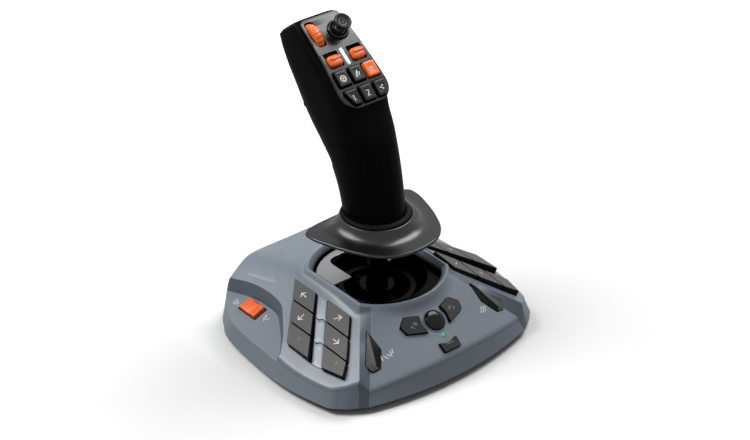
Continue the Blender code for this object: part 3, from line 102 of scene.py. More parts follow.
CHEEK_X = 70.5 * MM
CHEEK_Y = -42.85 * MM
CHEEK_Z = 36.4 * MM
CHEEK_SLOPE = 0.49
CHEEK_RISE = 0.108
CHEEK_BEND_Y = -14.0 * MM
CHEEK_BACK_RISE = 0.03
FRONT_SLOPE = 0.715
FRONT_START = 52.5 * MM
FRONT_STRETCH = 0.75
BACK_Z = 52.5 * MM
BACK_Y = 40.0 * MM
BACK_SLOPE = 0.12
FACET_BLEND = 1.5 * MM
CREASE_IN_ANGLE = math.radians(-45.5)
CREASE_OUT_ANGLE = math.radians(-37.5)

RECESS_X = -75.0 * MM
RECESS_Z = 30.0 * MM
RECESS_SLOPE = 0.385
RECESS_OUTLINE = ((-103.0, -18.5), (-91.4, -6.0), (-80.5, 10.0), (-76.6, 17.0), (-75.0, 26.0),
                  (-75.0, 40.0), (-77.5, 57.0), (-82.5, 74.5), (-85.0, 95.0), (-90.0, 125.0))
RECESS_TOP = 80.0 * MM
RECESS_FRONT_Y = -22.0 * MM
RECESS_STEPS = 5
STEP_FOOT = 1.6 * MM
STEP_REACH = 16.0 * MM
# STEP_BAND, STEP_TURNS and RIM_SLOPE_TURN choose the shell faces that get painted shade in the darker
# slate.
STEP_BAND = 3.4 * MM
STEP_TURNS = (0.15, 0.7)
RIM_SLOPE_TURN = 0.42
SIDE_ROCKER_PLAN = (-84.7 * MM, 41.4 * MM)
SIDE_ROCKER_SIZE = (12.5 * MM, 20.5 * MM)
SIDE_ROCKER_RISE = 3.2 * MM
SIDE_ROCKER_DEPTH = 4.0 * MM

KEY_LENGTH = 25.6 * MM
KEY_ROW = 15.6 * MM
KEY_SLANT = 14.4 * MM
KEY_RISE = 2.0 * MM
KEY_DEPTH = 4.5 * MM
KEY_SPLIT = 0.9 * MM
KEY_HOLE_CORNER = 0.8 * MM
KEY_STAND = KEY_RISE + 0.9 * MM
KEY_TILT = 0.042
SHARP_KEY_EDGE = 0.36
OUTER_COLUMN_Y = 0.0 * MM
INNER_COLUMN_Y = -42.85 * MM
OUTER_COLUMN_CORNER = (18.9 * MM, 24.9 * MM)
INNER_COLUMN_CORNER = (21.4 * MM, 29.1 * MM)
LAST_KEY_CUT = (-14.6 * MM, -28.6 * MM)

WING_KEY = ((-52.0, -58.5), (-68.5, -76.5), (-66.5, -82.5), (-59.5, -83.5), (-50.8, -73.5))
WING_RIDGE = ((-53.4, -62.6), (-61.9, -80.6))
MENU_KEY = ((-22.0, -65.6), (-10.2, -69.6), (-12.3, -75.0), (-10.8, -81.8), (-27.6, -76.0),
            (-29.2, -70.0))
MODE_KEY = ((-8.3, -90.9), (-4.2, -92.3), (0.0, -92.8), (4.2, -92.3), (8.3, -90.9), (8.0, -97.6),
            (-8.0, -97.6))
FRONT_KEY_DEPTH = 5.0 * MM
HOME_PLAN = (0.0, -76.4 * MM)
HOME_RADIUS = 8.2 * MM
HOME_RISE = 2.4 * MM
LENS_PLAN = (0.0, -87.0 * MM)
LENS_RADIUS = 1.5 * MM
LENS_RISE = 0.3 * MM
INLET_RADIUS = 5.0 * MM
INLET_Z = 14.0 * MM

REST_BACK = 20.5 * MM
REST_FRONT = 59.3 * MM
REST_HALF_WIDTH = 53.4 * MM
REST_POINTS = ((36.0, 20.0), (51.0, 15.5), (53.4, 6.0), (49.3, -10.5), (42.6, -28.5),
               (33.0, -45.5), (19.0, -56.3))
# (inset, height over the underside) up the rim, then (share of the way in, height) of the flare.
REST_LIP = ((2.2, 0.0), (0.9, 0.3), (0.25, 0.9), (0.0, 1.6), (0.15, 2.3), (0.75, 2.9), (1.7, 3.15))
REST_FLARE = ((0.12, -0.30), (0.28, -0.18), (0.45, 0.0), (0.60, 0.55), (0.72, 1.55), (0.82, 3.1),
              (0.90, 4.9), (0.96, 6.6), (0.995, 7.7))
REST_Z = 96.0 * MM
REST_EDGE = 3.4 * MM
REST_COLLAR_RADIUS = 28.6 * MM
REST_COLLAR_TOP = 104.0 * MM
REST_FLOOR = 3.0 * MM
REST_Y = -7.9 * MM
BUSH_RADIUS = 12.0 * MM
COLLAR_RADIUS = 27.0 * MM
COLLAR_TOP = 106.4 * MM

GRIP_BOTTOM = 98.2 * MM
GRIP_SECTIONS = (
    (-31.6, 98.2, 15.8, 98.2, 23.7, 2.0, 2.0),
    (-29.3, 109.8, 19.2, 104.0, 23.7, 2.0, 2.0),
    (-25.0, 131.0, 23.0, 121.5, 24.3, 2.1, 2.1),
    (-20.3, 152.0, 30.0, 136.5, 24.6, 2.2, 2.2),
    (-13.8, 172.0, 40.0, 151.0, 24.7, 2.5, 2.4),
    (-3.0, 187.5, 51.0, 163.5, 24.7, 3.6, 2.6),
    (4.4, 198.8, 60.5, 176.0, 24.6, 5.5, 2.8),
    (16.6, 210.6, 69.5, 191.5, 24.5, 7.0, 3.0),
    (33.9, 224.4, 78.5, 206.5, 24.0, 7.5, 3.2),
    (49.5, 235.4, 84.5, 217.0, 23.0, 7.5, 3.2),
    (61.4, 243.2, 87.3, 224.2, 21.8, 7.0, 3.2),
    (63.6, 244.2, 86.9, 226.6, 19.8, 5.0, 3.0),
)
GRIP_WALL = 2.6 * MM
COVER_REGION = ((40.0, 148.0), (25.5, 155.0), (12.0, 164.0), (0.0, 167.0), (-7.5, 163.5),
                (-12.0, 155.0), (-13.6, 141.0), (-17.5, 118.0), (-19.0, 108.5), (60.0, 108.5),
                (70.0, 148.0))
COVER_THICKNESS = 1.3 * MM

PANEL_MIDDLE = (28.3 * MM, 222.7 * MM)
PANEL_TILT = math.radians(37.2)
PANEL_ARC_RADIUS = 320.0 * MM
PANEL_TOP_END = 39.2 * MM
PANEL_BOTTOM_END = -41.0 * MM
PANEL_ROUND_START = -26.0 * MM
PANEL_CORNER = 4.5 * MM
PANEL_HALF_TOP = 18.3 * MM
PANEL_HALF_BOTTOM = 23.2 * MM
PANEL_THICKNESS = 2.0 * MM
PANEL_LEDGE = 1.3 * MM
THUMB_PITCH = 13.6 * MM
THUMB_ROWS = (-16.0 * MM, -32.3 * MM)
THUMB_SIZE = (11.8 * MM, 13.6 * MM)
ROCKER_X = 10.9 * MM
ROCKER_S = 0.6 * MM
ROCKER_SIZE = (12.4 * MM, 13.0 * MM)
WHEEL_X = -12.2 * MM
WHEEL_S = 25.0 * MM
WHEEL_RADIUS = 12.6 * MM
WHEEL_WIDTH = 7.0 * MM
WHEEL_RISE = 4.4 * MM
STICK_X = 7.8 * MM
STICK_S = 22.5 * MM
STICK_SOCKET_RADIUS = 8.6 * MM
STICK_CAP_RADIUS = 7.0 * MM
STICK_CAP_HEIGHT = 12.6 * MM

THUMB_STAND = 2.5 * MM
THUMB_DEPTH = 4.0 * MM
THUMB_TAPER = 0.35
LIGHT_BAR_SIZE = (2.6 * MM, 14.4 * MM)
LIGHT_BAR_SLOT = (3.2 * MM, 15.0 * MM)
SCREW_TURN = 20
SCREW_HEAD_RADIUS = 2.4 * MM
SLOT_SIZE = (6.0 * MM, 13.0 * MM)
SLOT_PLACE = (-20 * MM, 26 * MM, 146 * MM)
SLOT_LEAN = math.radians(-62)

# Cutters run this far past the faces that they open.
CUT_UNDER = 12 * MM
CUT_OVER = 9 * MM
PAST_SIDE = 140 * MM
PAST_BACK = 125 * MM

# Which of a piece's two or three finishes a face takes.
FIRST_FINISH, SECOND_FINISH = 0, 1


# =============================== mesh helpers ===============================
def deselect():
    bpy.ops.object.select_all(action="DESELECT")


def only(obj):
    deselect()
    obj.select_set(True)
    bpy.context.view_layer.objects.active = obj


def new_object(name, bm, frame_at=None):
    """Object of this bmesh, with the frame taken into its mesh."""
    bmesh.ops.recalc_face_normals(bm, faces=bm.faces)
    mesh = bpy.data.meshes.new(name)
    bm.to_mesh(mesh)
    bm.free()
    if frame_at is not None:
        mesh.transform(frame_at)
    obj = bpy.data.objects.new(name, mesh)
    bpy.context.scene.collection.objects.link(obj)
    return obj


def apply_all(obj):
    only(obj)
    for modifier in list(obj.modifiers):
        bpy.ops.object.modifier_apply(modifier=modifier.name)


def cut(piece, cutter, operation="DIFFERENCE", solver="MANIFOLD"):
    """One applied Boolean; where the quick solver changes nothing, the exact one follows."""
    kept = piece.data.copy()
    modifier = piece.modifiers.new("cut", "BOOLEAN")
    modifier.operation = operation
    modifier.object = cutter
    modifier.solver = solver
    only(piece)
    bpy.ops.object.modifier_apply(modifier=modifier.name)
    same = len(piece.data.polygons) == len(kept.polygons)
    if solver == "MANIFOLD" and (not piece.data.polygons or same):
        piece.data = kept
        cut(piece, cutter, operation, "EXACT")


def drop(*objects):
    for obj in objects:
        bpy.data.objects.remove(obj, do_unlink=True)


def bevel(obj, width, segments=3, angle=32.0):
    modifier = obj.modifiers.new("edge", "BEVEL")
    modifier.width = width
    modifier.segments = segments
    modifier.limit_method = "ANGLE"
    modifier.angle_limit = math.radians(angle)
    modifier.use_clamp_overlap = True
    modifier.miter_outer = "MITER_ARC"
    apply_all(obj)


def smooth(obj, angle=35.0, flat_caps=True):
    """Smooth shading; wide end caps stay flat, so their many corners don't bend the light."""
    only(obj)
    bpy.ops.object.shade_smooth_by_angle(angle=math.radians(angle))
    if flat_caps:
        for face in obj.data.polygons:
            if len(face.vertices) > 8:
                face.use_smooth = False


def dress(obj, material, body, replaced=()):
    """Last step of every piece: its finish, the body it rides on and the node it stands for."""
    obj.data.materials.clear()
    obj.data.materials.append(material)
    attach(obj, body)
    if replaced:
        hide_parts(*replaced)
    return obj


def carve(piece, *cutters, operation="DIFFERENCE", solver="MANIFOLD"):
    """Cuts with each cutter in turn and clears the cutters away."""
    for cutter in cutters:
        cut(piece, cutter, operation, solver)
    drop(*cutters)


def span_points(a, b, c, d, steps):
    """Points of a smooth curve from b towards c, where a and d come before and after."""
    a, b, c, d = (Vector(p) for p in (a, b, c, d))
    return [0.5 * ((2 * b) + (c - a) * t + (2 * a - 5 * b + 4 * c - d) * t**2
                   + (3 * b - a - 3 * c + d) * t**3) for t in (k / steps for k in range(steps))]


def smooth_path(points, steps):
    padded = [points[0]] + list(points) + [points[-1]]
    found = []
    for i in range(len(points) - 1):
        found += span_points(*padded[i : i + 4], steps)
    return found + [Vector(points[-1])]


def smooth_loop(points, steps):
    count = len(points)
    found = []
    for i in range(count):
        found += span_points(*(points[(i + k) % count] for k in (-1, 0, 1, 2)), steps)
    return found


def curve_between(a, corner, b, steps):
    """Points of a quadratic curve from a towards b, round a corner, without b itself."""
    return [a * (1 - t) ** 2 + corner * 2 * t * (1 - t) + b * t**2
            for t in (k / steps for k in range(steps))]


def circle(radius, steps, phase=0.0, x=0.0, y=0.0):
    angles = [2 * math.pi * (k + phase) / steps for k in range(steps)]
    return [(x + radius * math.cos(a), y + radius * math.sin(a)) for a in angles]


def at_height(points, z):
    return [(x, y, z) for x, y in points]


def nearest_on(a, b, point):
    way = b - a
    return a + way * min(max((point - a).dot(way) / way.length_squared, 0.0), 1.0)


def loft(rings, closed=False):
    bm = bmesh.new()
    rows = [[bm.verts.new(p) for p in ring] for ring in rings]
    count = len(rows[0])
    pairs = list(zip(rows, rows[1:]))
    if closed:
        pairs.append((rows[-1], rows[0]))
    for low, high in pairs:
        for i in range(count):
            j = (i + 1) % count
            bm.faces.new((low[i], low[j], high[j], high[i]))
    if not closed:
        bm.faces.new(rows[0])
        bm.faces.new(rows[-1])
    return bm


def prism(outline, bottom, top):
    low = bottom if callable(bottom) else (lambda x, y: bottom)
    high = top if callable(top) else (lambda x, y: top)
    return loft(([(x, y, low(x, y)) for x, y in outline], [(x, y, high(x, y)) for x, y in outline]))


def spun(profile, steps=64):
    """Profile of (radius, height) points turned about Z; it closes on itself."""
    turns = circle(1.0, steps)
    return loft([[(r * c, r * s, z) for r, z in profile] for c, s in turns], closed=True)


def domed(profile, steps=64):
    """Profile of (radius, height) rings stacked from the bottom up, with both ends capped."""
    return loft([at_height(circle(r, steps), z) for r, z in profile])


def scaled(points):
    return [(x * MM, y * MM) for x, y in points]


def mirrored(outline):
    return [(-x, y) for x, y in reversed(outline)]


def for_side(outline, side):
    """An outline given for the left side, mirrored where the side is the right one."""
    return outline if side < 0 else mirrored(outline)


def inset_outline(outline, amount):
    count = len(outline)
    area = sum(outline[i][0] * outline[(i + 1) % count][1]
               - outline[(i + 1) % count][0] * outline[i][1] for i in range(count))
    turn = 1.0 if area > 0 else -1.0
    found = []
    for i in range(count):
        before = Vector(outline[i]) - Vector(outline[i - 1])
        after = Vector(outline[(i + 1) % count]) - Vector(outline[i])
        first = Vector((-before.y, before.x)).normalized() * turn
        second = Vector((-after.y, after.x)).normalized() * turn
        bisector = (first + second) / (1.0 + first.dot(second))
        found.append(tuple(Vector(outline[i]) + bisector * amount))
    return found


def rounded(outline, radius, steps=4):
    """The outline with each corner rounded by an arc-like curve."""
    count = len(outline)
    found = []
    for i in range(count):
        before, here, after = (Vector(outline[(i + k) % count]) for k in (-1, 0, 1))
        back, on = before - here, after - here
        reach = min(radius, back.length * 0.45, on.length * 0.45)
        start, end = here + back.normalized() * reach, here + on.normalized() * reach
        found += [tuple(p) for p in (*curve_between(start, here, end, steps), end)]
    return found


def rounded_rectangle(width, length, radius, steps=6):
    w, h = width / 2, length / 2
    return rounded([(w, h), (-w, h), (-w, -h), (w, -h)], radius, steps)


def plane_frame(origin, slope_x, slope_y):
    """Frame on a sloped plane: its Z stands off the plane, its Y points away from the user."""
    normal = Vector((-slope_x, -slope_y, 1.0)).normalized()
    back = (Vector((0, 1, 0)) - normal * normal.y).normalized()
    side = back.cross(normal)
    found = Matrix((side, back, normal)).transposed().to_4x4()
    found.translation = Vector(origin)
    return found


def to_frame(at, points):
    """Plan points set down on a frame's plane, as that frame's own x and y."""
    normal = at.col[2].to_3d()
    origin = at.translation
    inverse = at.inverted()
    found = []
    for x, y in points:
        z = origin.z - ((x - origin.x) * normal.x + (y - origin.y) * normal.y) / normal.z
        local = inverse @ Vector((x, y, z))
        found.append((local.x, local.y))
    return found


# =============================== finishes ===============================
def add_node(tree, kind, values=(), **settings):
    node = tree.nodes.new(kind)
    for name, value in settings.items():
        setattr(node, name, value)
    for socket, value in dict(values).items():
        node.inputs[socket].default_value = value
    return node


def wire(tree, *pairs):
    """Links outputs to inputs; each end is a node and the name or number of its socket."""
    for source, out, target, into in pairs:
        tree.links.new(source.outputs[out], target.inputs[into])


GRAIN_INPUTS = (
    ("Color", "NodeSocketColor", (0.5, 0.5, 0.5, 1)),
    ("Fleck Color", "NodeSocketColor", (0.6, 0.6, 0.6, 1)),
    ("Fleck Amount", "NodeSocketFloat", 0.1),
    ("Roughness", "NodeSocketFloat", 0.4),
    ("Roughness Play", "NodeSocketFloat", 0.06),
    ("Grain Scale", "NodeSocketFloat", 2500.0),
    ("Grain Depth", "NodeSocketFloat", 0.25),
)
GRAIN_OUTPUTS = (("Color", "NodeSocketColor"), ("Roughness", "NodeSocketFloat"),
                 ("Normal", "NodeSocketVector"))
PATCH_SCALE = 38.0
GRAIN_HEIGHT = 0.02 * MM


def make_moulded_grain():
    """Group: spark-eroded grain of moulded plastic, with slow patches of sheen and fine specks."""
    group = bpy.data.node_groups.new("moulded_grain", "ShaderNodeTree")
    for name, kind, value in GRAIN_INPUTS:
        socket = group.interface.new_socket(name=name, in_out="INPUT", socket_type=kind)
        socket.default_value = value
    for name, kind in GRAIN_OUTPUTS:
        group.interface.new_socket(name=name, in_out="OUTPUT", socket_type=kind)
    start, end = add_node(group, "NodeGroupInput"), add_node(group, "NodeGroupOutput")
    place = add_node(group, "ShaderNodeTexCoord")
    grain = add_node(group, "ShaderNodeTexNoise", {"Detail": 2.0, "Roughness": 0.6})
    patch = add_node(group, "ShaderNodeTexNoise", {"Scale": PATCH_SCALE, "Detail": 3.0})
    fleck = add_node(group, "ShaderNodeMapRange", {"From Min": 0.56, "From Max": 0.72})
    share = add_node(group, "ShaderNodeMath", operation="MULTIPLY")
    mix = add_node(group, "ShaderNodeMix", data_type="RGBA")
    centred = add_node(group, "ShaderNodeMath", {1: 0.5}, operation="SUBTRACT")
    play = add_node(group, "ShaderNodeMath", operation="MULTIPLY_ADD")
    bump = add_node(group, "ShaderNodeBump", {"Distance": GRAIN_HEIGHT})
    wire(group,
         (place, "Object", grain, "Vector"), (start, "Grain Scale", grain, "Scale"),
         (place, "Object", patch, "Vector"), (grain, "Fac", fleck, "Value"),
         (fleck, "Result", share, 0), (start, "Fleck Amount", share, 1),
         (share, 0, mix, "Factor"), (start, "Color", mix, "A"), (start, "Fleck Color", mix, "B"),
         (patch, "Fac", centred, 0), (centred, 0, play, 0), (start, "Roughness Play", play, 1),
         (start, "Roughness", play, 2), (start, "Grain Depth", bump, "Strength"),
         (grain, "Fac", bump, "Height"), (mix, "Result", end, "Color"),
         (play, 0, end, "Roughness"), (bump, "Normal", end, "Normal"))
    return group


MOULDED_GRAIN = make_moulded_grain()


def plastic(name, color, roughness, fleck=None, fleck_amount=0.1, play=0.08, grain=2500.0,
            depth=0.25, specular=0.5, metallic=0.0, glow=0.0):
    """Moulded plastic whose colour, roughness and normal come through the shared grain group."""
    material = bpy.data.materials.new(name)
    material.use_nodes = True
    tree = material.node_tree
    shader = tree.nodes["Principled BSDF"]
    surface = add_node(tree, "ShaderNodeGroup", node_tree=MOULDED_GRAIN)
    if fleck is None:
        fleck = tuple(min(1.0, c * 1.5 + 0.01) for c in color)
    for socket, value in (("Color", (*color, 1)), ("Fleck Color", (*fleck, 1)),
                          ("Fleck Amount", fleck_amount), ("Roughness", roughness),
                          ("Roughness Play", play), ("Grain Scale", grain),
                          ("Grain Depth", depth)):
        surface.inputs[socket].default_value = value
    wire(tree, (surface, "Color", shader, "Base Color"),
         (surface, "Roughness", shader, "Roughness"), (surface, "Normal", shader, "Normal"))
    shader.inputs["Specular IOR Level"].default_value = specular
    shader.inputs["Metallic"].default_value = metallic
    if glow:
        shader.inputs["Emission Color"].default_value = (1.0, 1.0, 1.0, 1.0)
        shader.inputs["Emission Strength"].default_value = glow
    return material


SHELL = plastic("slate_shell", (0.152, 0.182, 0.218), 0.34, fleck=(0.27, 0.30, 0.35),
                fleck_amount=0.35, grain=2200.0, depth=0.3, specular=0.5)
# Darker slate: painted shade on the crease facets, the recess steps and the rim's inner slope; the
# ring round the home button is made in it too.
DARK_SLATE_AND_SHADE = plastic("slate_deep", (0.068, 0.086, 0.116), 0.40, fleck_amount=0.3, grain=2200.0)
STRIP = plastic("slate_strip", (0.235, 0.265, 0.31), 0.30, fleck_amount=0.3, grain=2200.0)
GRIP = plastic("soft_black_grip", (0.0018, 0.0018, 0.0019), 0.40, fleck=(0.006, 0.006, 0.006),
               fleck_amount=0.3, grain=1900.0, depth=0.30, play=0.06, specular=0.025)
REST = plastic("satin_black_rest", (0.0025, 0.0025, 0.0026), 0.25, fleck=(0.012, 0.012, 0.012),
               fleck_amount=0.3, grain=2000.0, depth=0.15, specular=0.42)
COLLAR = plastic("collar_rubber", (0.0025, 0.0025, 0.0025), 0.60, fleck_amount=0.1, grain=1400.0,
                 depth=0.4, specular=0.08)
PANEL = plastic("panel_satin", (0.0035, 0.0035, 0.0037), 0.30, fleck_amount=0.2, specular=0.40)
KEY = plastic("key_grey", (0.043, 0.043, 0.044), 0.42, fleck=(0.12, 0.12, 0.125),
              fleck_amount=0.45, grain=1500.0, depth=0.5, specular=0.4)
# Black for key walls, the wing keys' inner facets and the bed under the strips: painted shade, darker
# than the keys' own finish.
BLACK_PAINTED_SHADE = plastic("key_side_black", (0.0015, 0.0015, 0.0016), 0.38, fleck_amount=0.1,
                   specular=0.10)
THUMB = plastic("thumb_key_black", (0.0040, 0.0040, 0.0042), 0.33, fleck_amount=0.3, grain=1700.0,
                specular=0.30)
BLACK = plastic("black_plastic", (0.0016, 0.0016, 0.0017), 0.45, fleck_amount=0.1, specular=0.10)
GLOSS = plastic("gloss_black", (0.0012, 0.0012, 0.0013), 0.12, fleck_amount=0.0, play=0.05,
                depth=0.02, specular=0.20)
# Near-black inner finish: the gimbal's own black, and painted shade of the dark bowl on the steel
# shaft and bush.
INNER_BLACK_AND_SHADE = plastic("gimbal_black", (0.0009, 0.0009, 0.0010), 0.22, fleck_amount=0.0, play=0.08,
                depth=0.1, specular=0.03)
COVER = plastic("cover_black", (0.0016, 0.0016, 0.0017), 0.7, fleck_amount=0.2, specular=0.0)
ORANGE = plastic("orange_plastic", (0.90, 0.145, 0.012), 0.32, fleck=(0.98, 0.24, 0.05),
                 fleck_amount=0.3, grain=1600.0)
SATIN = plastic("satin_plate", (0.25, 0.255, 0.26), 0.36, fleck_amount=0.4, grain=2600.0,
                metallic=0.55)
STEEL = plastic("turned_steel", (0.40, 0.40, 0.41), 0.28, fleck_amount=0.2, grain=900.0,
                metallic=1.0)
SCREW = plastic("blackened_screw", (0.02, 0.02, 0.021), 0.3, fleck_amount=0.2, grain=900.0,
                metallic=0.9)
# Lighter bar on the thumb keys' top edges: a slightly raised ridge whose lighter grey is a painted
# highlight of the lit top chamfer.
LIP_HIGHLIGHT = plastic("worn_key_lip", (0.045, 0.045, 0.047), 0.35, fleck_amount=0.3, specular=0.4)
MARK = plastic("white_print", (0.72, 0.73, 0.74), 0.5, fleck=(0.55, 0.56, 0.57), fleck_amount=0.4)
DIM_MARK = plastic("grey_print", (0.22, 0.23, 0.24), 0.5, fleck_amount=0.3)
LIGHT = plastic("light_bar_lens", (0.86, 0.86, 0.84), 0.28, fleck_amount=0.0, depth=0.05,
                glow=0.45)
GREEN = plastic("status_green", (0.03, 0.60, 0.24), 0.22, fleck_amount=0.0, depth=0.05)
BOARD = plastic("board_green", (0.015, 0.09, 0.04), 0.45, fleck=(0.5, 0.42, 0.15),
                fleck_amount=0.5, grain=700.0)
RUBBER = plastic("foot_rubber", (0.006, 0.006, 0.006), 0.75, grain=1200.0, depth=0.5,
                 specular=0.1)


# =============================== base skin ===============================
def soft_min(*heights):
    low = min(heights)
    return low - FACET_BLEND * math.log(sum(math.exp((low - h) / FACET_BLEND) for h in heights))


def cheek_height(x, y):
    front_part = CHEEK_RISE * (min(y, CHEEK_BEND_Y) - CHEEK_Y)
    back_part = CHEEK_BACK_RISE * max(y - CHEEK_BEND_Y, 0.0)
    return CHEEK_Z + CHEEK_SLOPE * (CHEEK_X - abs(x)) + front_part + back_part


def front_height(x, y):
    reach = math.hypot(FRONT_STRETCH * x, y - BOWL_Y)
    return VALLEY_Z - FRONT_SLOPE * (reach - FRONT_START)


def top_height(x, y, front):
    if front:
        return min(front_height(x, y), VALLEY_Z)
    plateau = BACK_Z - BACK_SLOPE * (y - BACK_Y)
    return soft_min(cheek_height(x, y), plateau, BACK_Z)


def foot_stations(front_steps, side_steps):
    chord, rise = CORNER_IN[0], CORNER_IN[1] + BASE_FRONT
    radius = (chord**2 + rise**2) / (2 * rise)
    right = []
    for k in range(front_steps + 1):
        x = chord * k / front_steps
        right.append((x, -BASE_FRONT + radius - math.sqrt(radius**2 - x**2), True))
    side_points = [CORNER_OUT, *FRONT_SIDE_POINTS, (BASE_HALF_WIDTH, BASE_WIDEST_Y),
                   *BACK_SIDE_POINTS, (0.0, BASE_BACK)]
    right += [(p.x, p.y, False) for p in smooth_path(side_points, side_steps)]
    return right + [(-x, y, front) for x, y, front in reversed(right[1:-1])]


def wall_draft(y, front):
    if front:
        return FRONT_DRAFT
    if y > BACK_DRAFT_START_Y:
        share = (y - BACK_DRAFT_START_Y) / (BASE_BACK - BACK_DRAFT_START_Y)
        return CORNER_DRAFT + (BACK_DRAFT - CORNER_DRAFT) * share
    if y > 0:
        return SIDE_DRAFT + (CORNER_DRAFT - SIDE_DRAFT) * y / BACK_DRAFT_START_Y
    near_corner = min((y - CORNER_OUT[1]) / abs(CORNER_OUT[1]), 1.0)
    return FRONT_DRAFT + (SIDE_DRAFT - FRONT_DRAFT) * near_corner


def rim_angle(x, y, front):
    angle = math.atan2(y - BOWL_Y, abs(x))
    inner = math.atan2(CORNER_IN[1] - BOWL_Y, CORNER_IN[0])
    outer = math.atan2(CORNER_OUT[1] - BOWL_Y, CORNER_OUT[0])
    quarter = math.pi / 2
    if front:
        share = (angle + quarter) / (inner + quarter)
        angle = -quarter + share * (CREASE_IN_ANGLE + quarter)
    else:
        share = (angle - outer) / (quarter - outer)
        angle = CREASE_OUT_ANGLE + share * (quarter - CREASE_OUT_ANGLE)
    return angle if x >= 0 else math.pi - angle


def bowl_point(way, radius, flat=BOWL_FLAT):
    x = max(min(way[0] * radius, radius - flat), flat - radius)
    return (x, BOWL_Y + way[1] * radius)


def skin_column(station, inner, wall, fine):
    """All points of the skin over one station, from the foot up over the rim to the skirt."""
    x, y, front = station
    drop_z = 1.15 * wall
    inward = (Vector((0.0, BOWL_Y)) - Vector((x, y))).normalized()
    spot = Vector(inner) + inward * wall_draft(y, front)
    angle = rim_angle(x, y, front)
    way = (math.cos(angle), math.sin(angle))
    valley = Vector(bowl_point(way, VALLEY_RADIUS - 0.6 * wall))
    shoulder = spot + inward * SHOULDER
    edge_z = top_height(spot.x, spot.y, front) - drop_z
    foot = Vector((inner[0], inner[1], SHELL_BOTTOM - 3 * wall))
    wall_top = Vector((spot.x, spot.y, edge_z - SHOULDER))
    turn = Vector((spot.x, spot.y, edge_z))
    top_start = Vector((*shoulder, top_height(*shoulder, front) - drop_z))
    valley_z = min(top_height(*valley, front), VALLEY_Z)
    low = Vector((*valley, valley_z - drop_z))

    def over(share):
        place = shoulder.lerp(valley, share)
        return Vector((*place, top_height(*place, front) - drop_z))

    if wall:
        bore = BOWL_RADIUS + wall
        rim = ((RIM_TOP_RADIUS + 0.3 * wall, RIM_Z - 1.7 * wall), (bore, RIM_Z - 1.7 * wall),
               (bore, SKIRT_BOTTOM + 0.2 * wall))
        points = [foot, wall_top, top_start, over(0.3), over(0.6), over(0.85), low]
        return points + [Vector((*bowl_point(way, r), z)) for r, z in rim]
    points = [foot + Vector((*(inward * 0.4 * MM), 0)), foot + Vector((0, 0, 0.5 * MM))]
    points += [foot.lerp(wall_top, t) for t in (0.35, 0.7, 0.92)]
    points += curve_between(wall_top, turn, top_start, 6)
    points += [over(k / fine) for k in range(fine - 1)]
    outer = Vector((*bowl_point(way, RIM_OUTER_RADIUS), RIM_Z - 1.2 * MM))
    points += curve_between(over((fine - 1.4) / fine), low, low.lerp(outer, 0.45), 6)
    crest = [low.lerp(outer, 0.45), low.lerp(outer, 0.8)]
    crest += [Vector((*bowl_point(way, r), z)) for r, z in (
        (RIM_OUTER_RADIUS - 0.5 * MM, RIM_Z - 0.6 * MM), (RIM_TOP_RADIUS + 1.2 * MM, RIM_Z),
        (RIM_TOP_RADIUS, RIM_Z - 0.4 * MM), (BOWL_RADIUS + 1.3 * MM, RIM_Z - 1.9 * MM),
        (BOWL_RADIUS + 0.35 * MM, RIM_Z - 3.2 * MM), (BOWL_RADIUS, RIM_Z - 4.4 * MM),
        (BOWL_RADIUS, SKIRT_BOTTOM))]
    return points + smooth_path(crest, 3)


def skin(wall=0.0, front_steps=26, side_steps=11, fine=18):
    stations = foot_stations(front_steps, side_steps)
    low = inset_outline([(x, y) for x, y, _ in stations], wall)
    columns = [skin_column(s, inner, wall, fine) for s, inner in zip(stations, low)]
    return loft([list(ring) for ring in zip(*columns)])


def recess_floor(x):
    return RECESS_Z - RECESS_SLOPE * (abs(x) + RECESS_X)


SKIN_TREE = BVHTree.FromBMesh(skin())


def skin_height(x, y):
    return SKIN_TREE.ray_cast(Vector((x, y, 1.0)), Vector((0, 0, -1)))[0].z


def seat_frame(x, y, reach=5.0 * MM):
    """Frame on the skin at a plan point, with the slope that the skin has round it."""
    slope_x = (skin_height(x + reach, y) - skin_height(x - reach, y)) / (2 * reach)
    slope_y = (skin_height(x, y + reach) - skin_height(x, y - reach)) / (2 * reach)
    middle = (skin_height(x + reach, y) + skin_height(x - reach, y) + skin_height(x, y + reach)
              + skin_height(x, y - reach)) / 4
    return plane_frame((x, y, (middle + skin_height(x, y)) / 2), slope_x, slope_y)


def column_frames(side):
    x = side * CHEEK_X
    slope_x = -side * CHEEK_SLOPE
    outer = plane_frame((x, OUTER_COLUMN_Y, cheek_height(x, OUTER_COLUMN_Y)), slope_x,
                        CHEEK_BACK_RISE)
    inner = plane_frame((x, INNER_COLUMN_Y, cheek_height(x, INNER_COLUMN_Y)), slope_x, CHEEK_RISE)
    return outer, inner


def column_keys(corner, last_cut=None):
    """Outlines of a column's three keys, and of the one opening that holds them."""
    up, back = corner
    half = KEY_SPLIT / 2
    slope = KEY_SLANT / KEY_ROW
    keys = []
    for row in range(3):
        u0, v0 = up - row * KEY_ROW - half, back - row * KEY_SLANT - half * slope
        u1, v1 = up - (row + 1) * KEY_ROW + half, back - (row + 1) * KEY_SLANT + half * slope
        outline = [(u0, v0), (u1, v1), (u1, v1 - KEY_LENGTH), (u0, v0 - KEY_LENGTH)]
        if last_cut and row == 2:
            outline = [(u0, v0), (u1, v1), (u1 + 0.4 * (last_cut[0] - u1), v1 - 0.75 * KEY_LENGTH),
                       last_cut, (u0, v0 - KEY_LENGTH)]
        keys.append(outline)
    first, last = keys[0], keys[2]
    opening = [first[0]] + last[1:-1] + ([last[-1], first[3]] if last_cut else [first[3]])
    return keys, opening


def turned_for(outline, side):
    return [(-side * u, v) for u, v in outline][:: 1 if side < 0 else -1]


